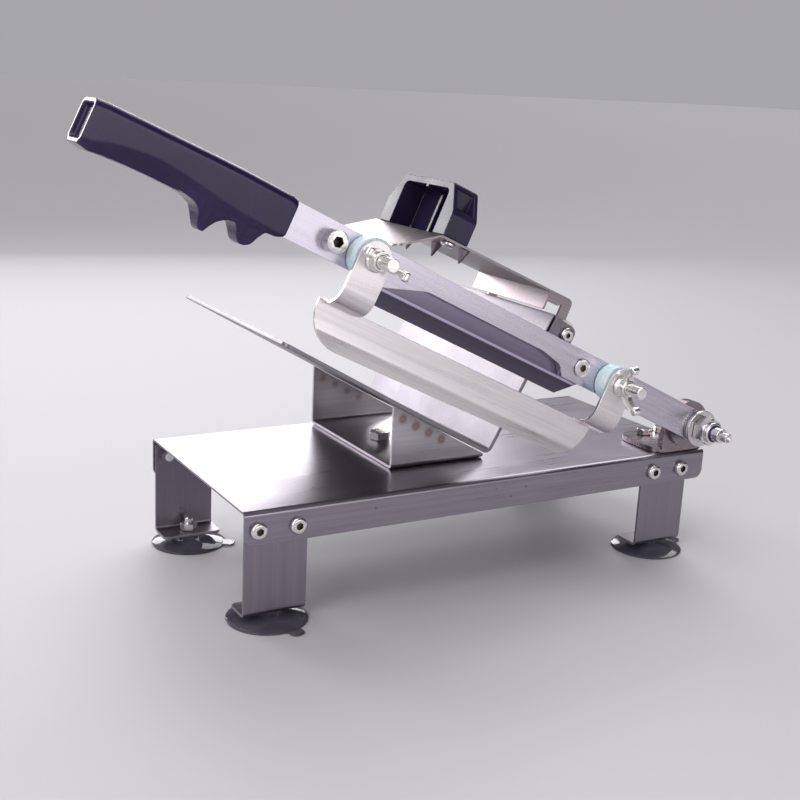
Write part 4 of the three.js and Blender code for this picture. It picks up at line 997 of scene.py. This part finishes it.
def turned(name, corners, sides=96):
    """A turned piece about Y, given by the corners of its outline as radius and depth"""
    piece = begin(name, bpy.ops.mesh.primitive_circle_add, vertices=sides, radius=corners[0][0],
                  location=(0, corners[0][1], 0), rotation=(pi / 2, 0, 0))
    for (radius, depth), (next_radius, next_depth) in zip(corners, corners[1:] + corners[:1]):
        bpy.ops.mesh.extrude_edges_move(TRANSFORM_OT_translate={"value": (0, next_depth - depth, 0)})
        bpy.ops.transform.resize(value=(next_radius / radius, 1, next_radius / radius))
    bpy.ops.mesh.select_all(action="SELECT")
    bpy.ops.mesh.remove_doubles(threshold=0.001)
    bpy.ops.mesh.normals_make_consistent(inside=False)
    return piece


cast_finish = brushed("wing_nut_plate", (0.80, 0.78, 0.76), (0.96, 0.94, 0.90), 0.26, relief=0.02)
wing_nut = turned("wing_nut_hub", (
    (4.1, 0), (6.85, 0), (6.7, -1.4), (5.9, -2.2), (5.5, -7), (5, -7.6), (4.1, -7.6)))
soften(wing_nut, 0.35, steps=3)
wings = []
for turn in (0, pi):
    wing = ribbon("wing", 0, (((4.8, -1), (4.8, -7.2)), ((8, -2.2), (7, -7.8)), ((11, -4.8), (9.2, -9.6)),
                              ((13.4, -8), (11, -11.8)), ((15.3, -11.4), (12.2, -13.6))))
    modify(wing, "SOLIDIFY", thickness=4, offset=0)
    bpy.ops.object.mode_set(mode="EDIT")
    choose("FACE", lambda p: abs(p.y) > 1.9)
    bpy.ops.mesh.inset(thickness=1.2, depth=-0.9)
    soften(wing, 0.6, steps=3, sharp=25)
    gather(wing, round_along("knob", 2.6, -2.7, 2.7, 1.2, steps=5, sides=40, across=(13.6, -12.9)))
    put(wing, (-pi / 2, -pi / 2, 0))
    put(wing, (0, turn, 0))
    wings.append(wing)
gather(wing_nut, *wings)

for side, along, turn in (("left", 296.5, 97), ("right", 92.5, -34)):
    stud = round_along("plain_stud_" + side, 4, -42.6, -4.75, 0.8, across=(-along, 0), sides=64)
    dimple = begin("dimple", bpy.ops.mesh.primitive_cylinder_add, vertices=24, radius=0.9, depth=4,
                   location=(-along + 0.6, -40, 4.2))
    carve(stud, dimple)
    settle(stud, pivot, arm_tilt)
    finish(stud, "arm", "fastener_steel", cast_finish, "gauge_stud_" + side)
    ring = turned("soft_ring_" + side, (
        (4.1, -9.9), (12.45, -9.9), (12.45, -12.7), (12.1, -13.2), (12.1, -13.7), (12.45, -14.2),
        (12.45, -16.4), (12.1, -16.9), (12.1, -17.3), (12.45, -17.8), (12.45, -19.9), (4.1, -19.9)))
    soften(ring, 0.8, steps=4, sharp=60)
    out = Vector((-along, 0, 0))
    out.rotate(Matrix.Rotation(arm_tilt, 3, "Y"))
    settle(ring, (pivot[0] + out.x, 0, pivot[2] + out.z), arm_tilt)
    finish(ring, "arm", "blue_silicone", silicone, "gauge_ring_" + side)
    nut = twin(wing_nut, "turned_wing_nut_" + side, (pivot[0] + out.x, -22.5, pivot[2] + out.z),
               tilt=arm_tilt, about_y=radians(turn))
    finish(nut, "clamp_" + side, "fastener_steel", cast_finish, "wing_nut_" + side)
bpy.data.objects.remove(wing_nut)
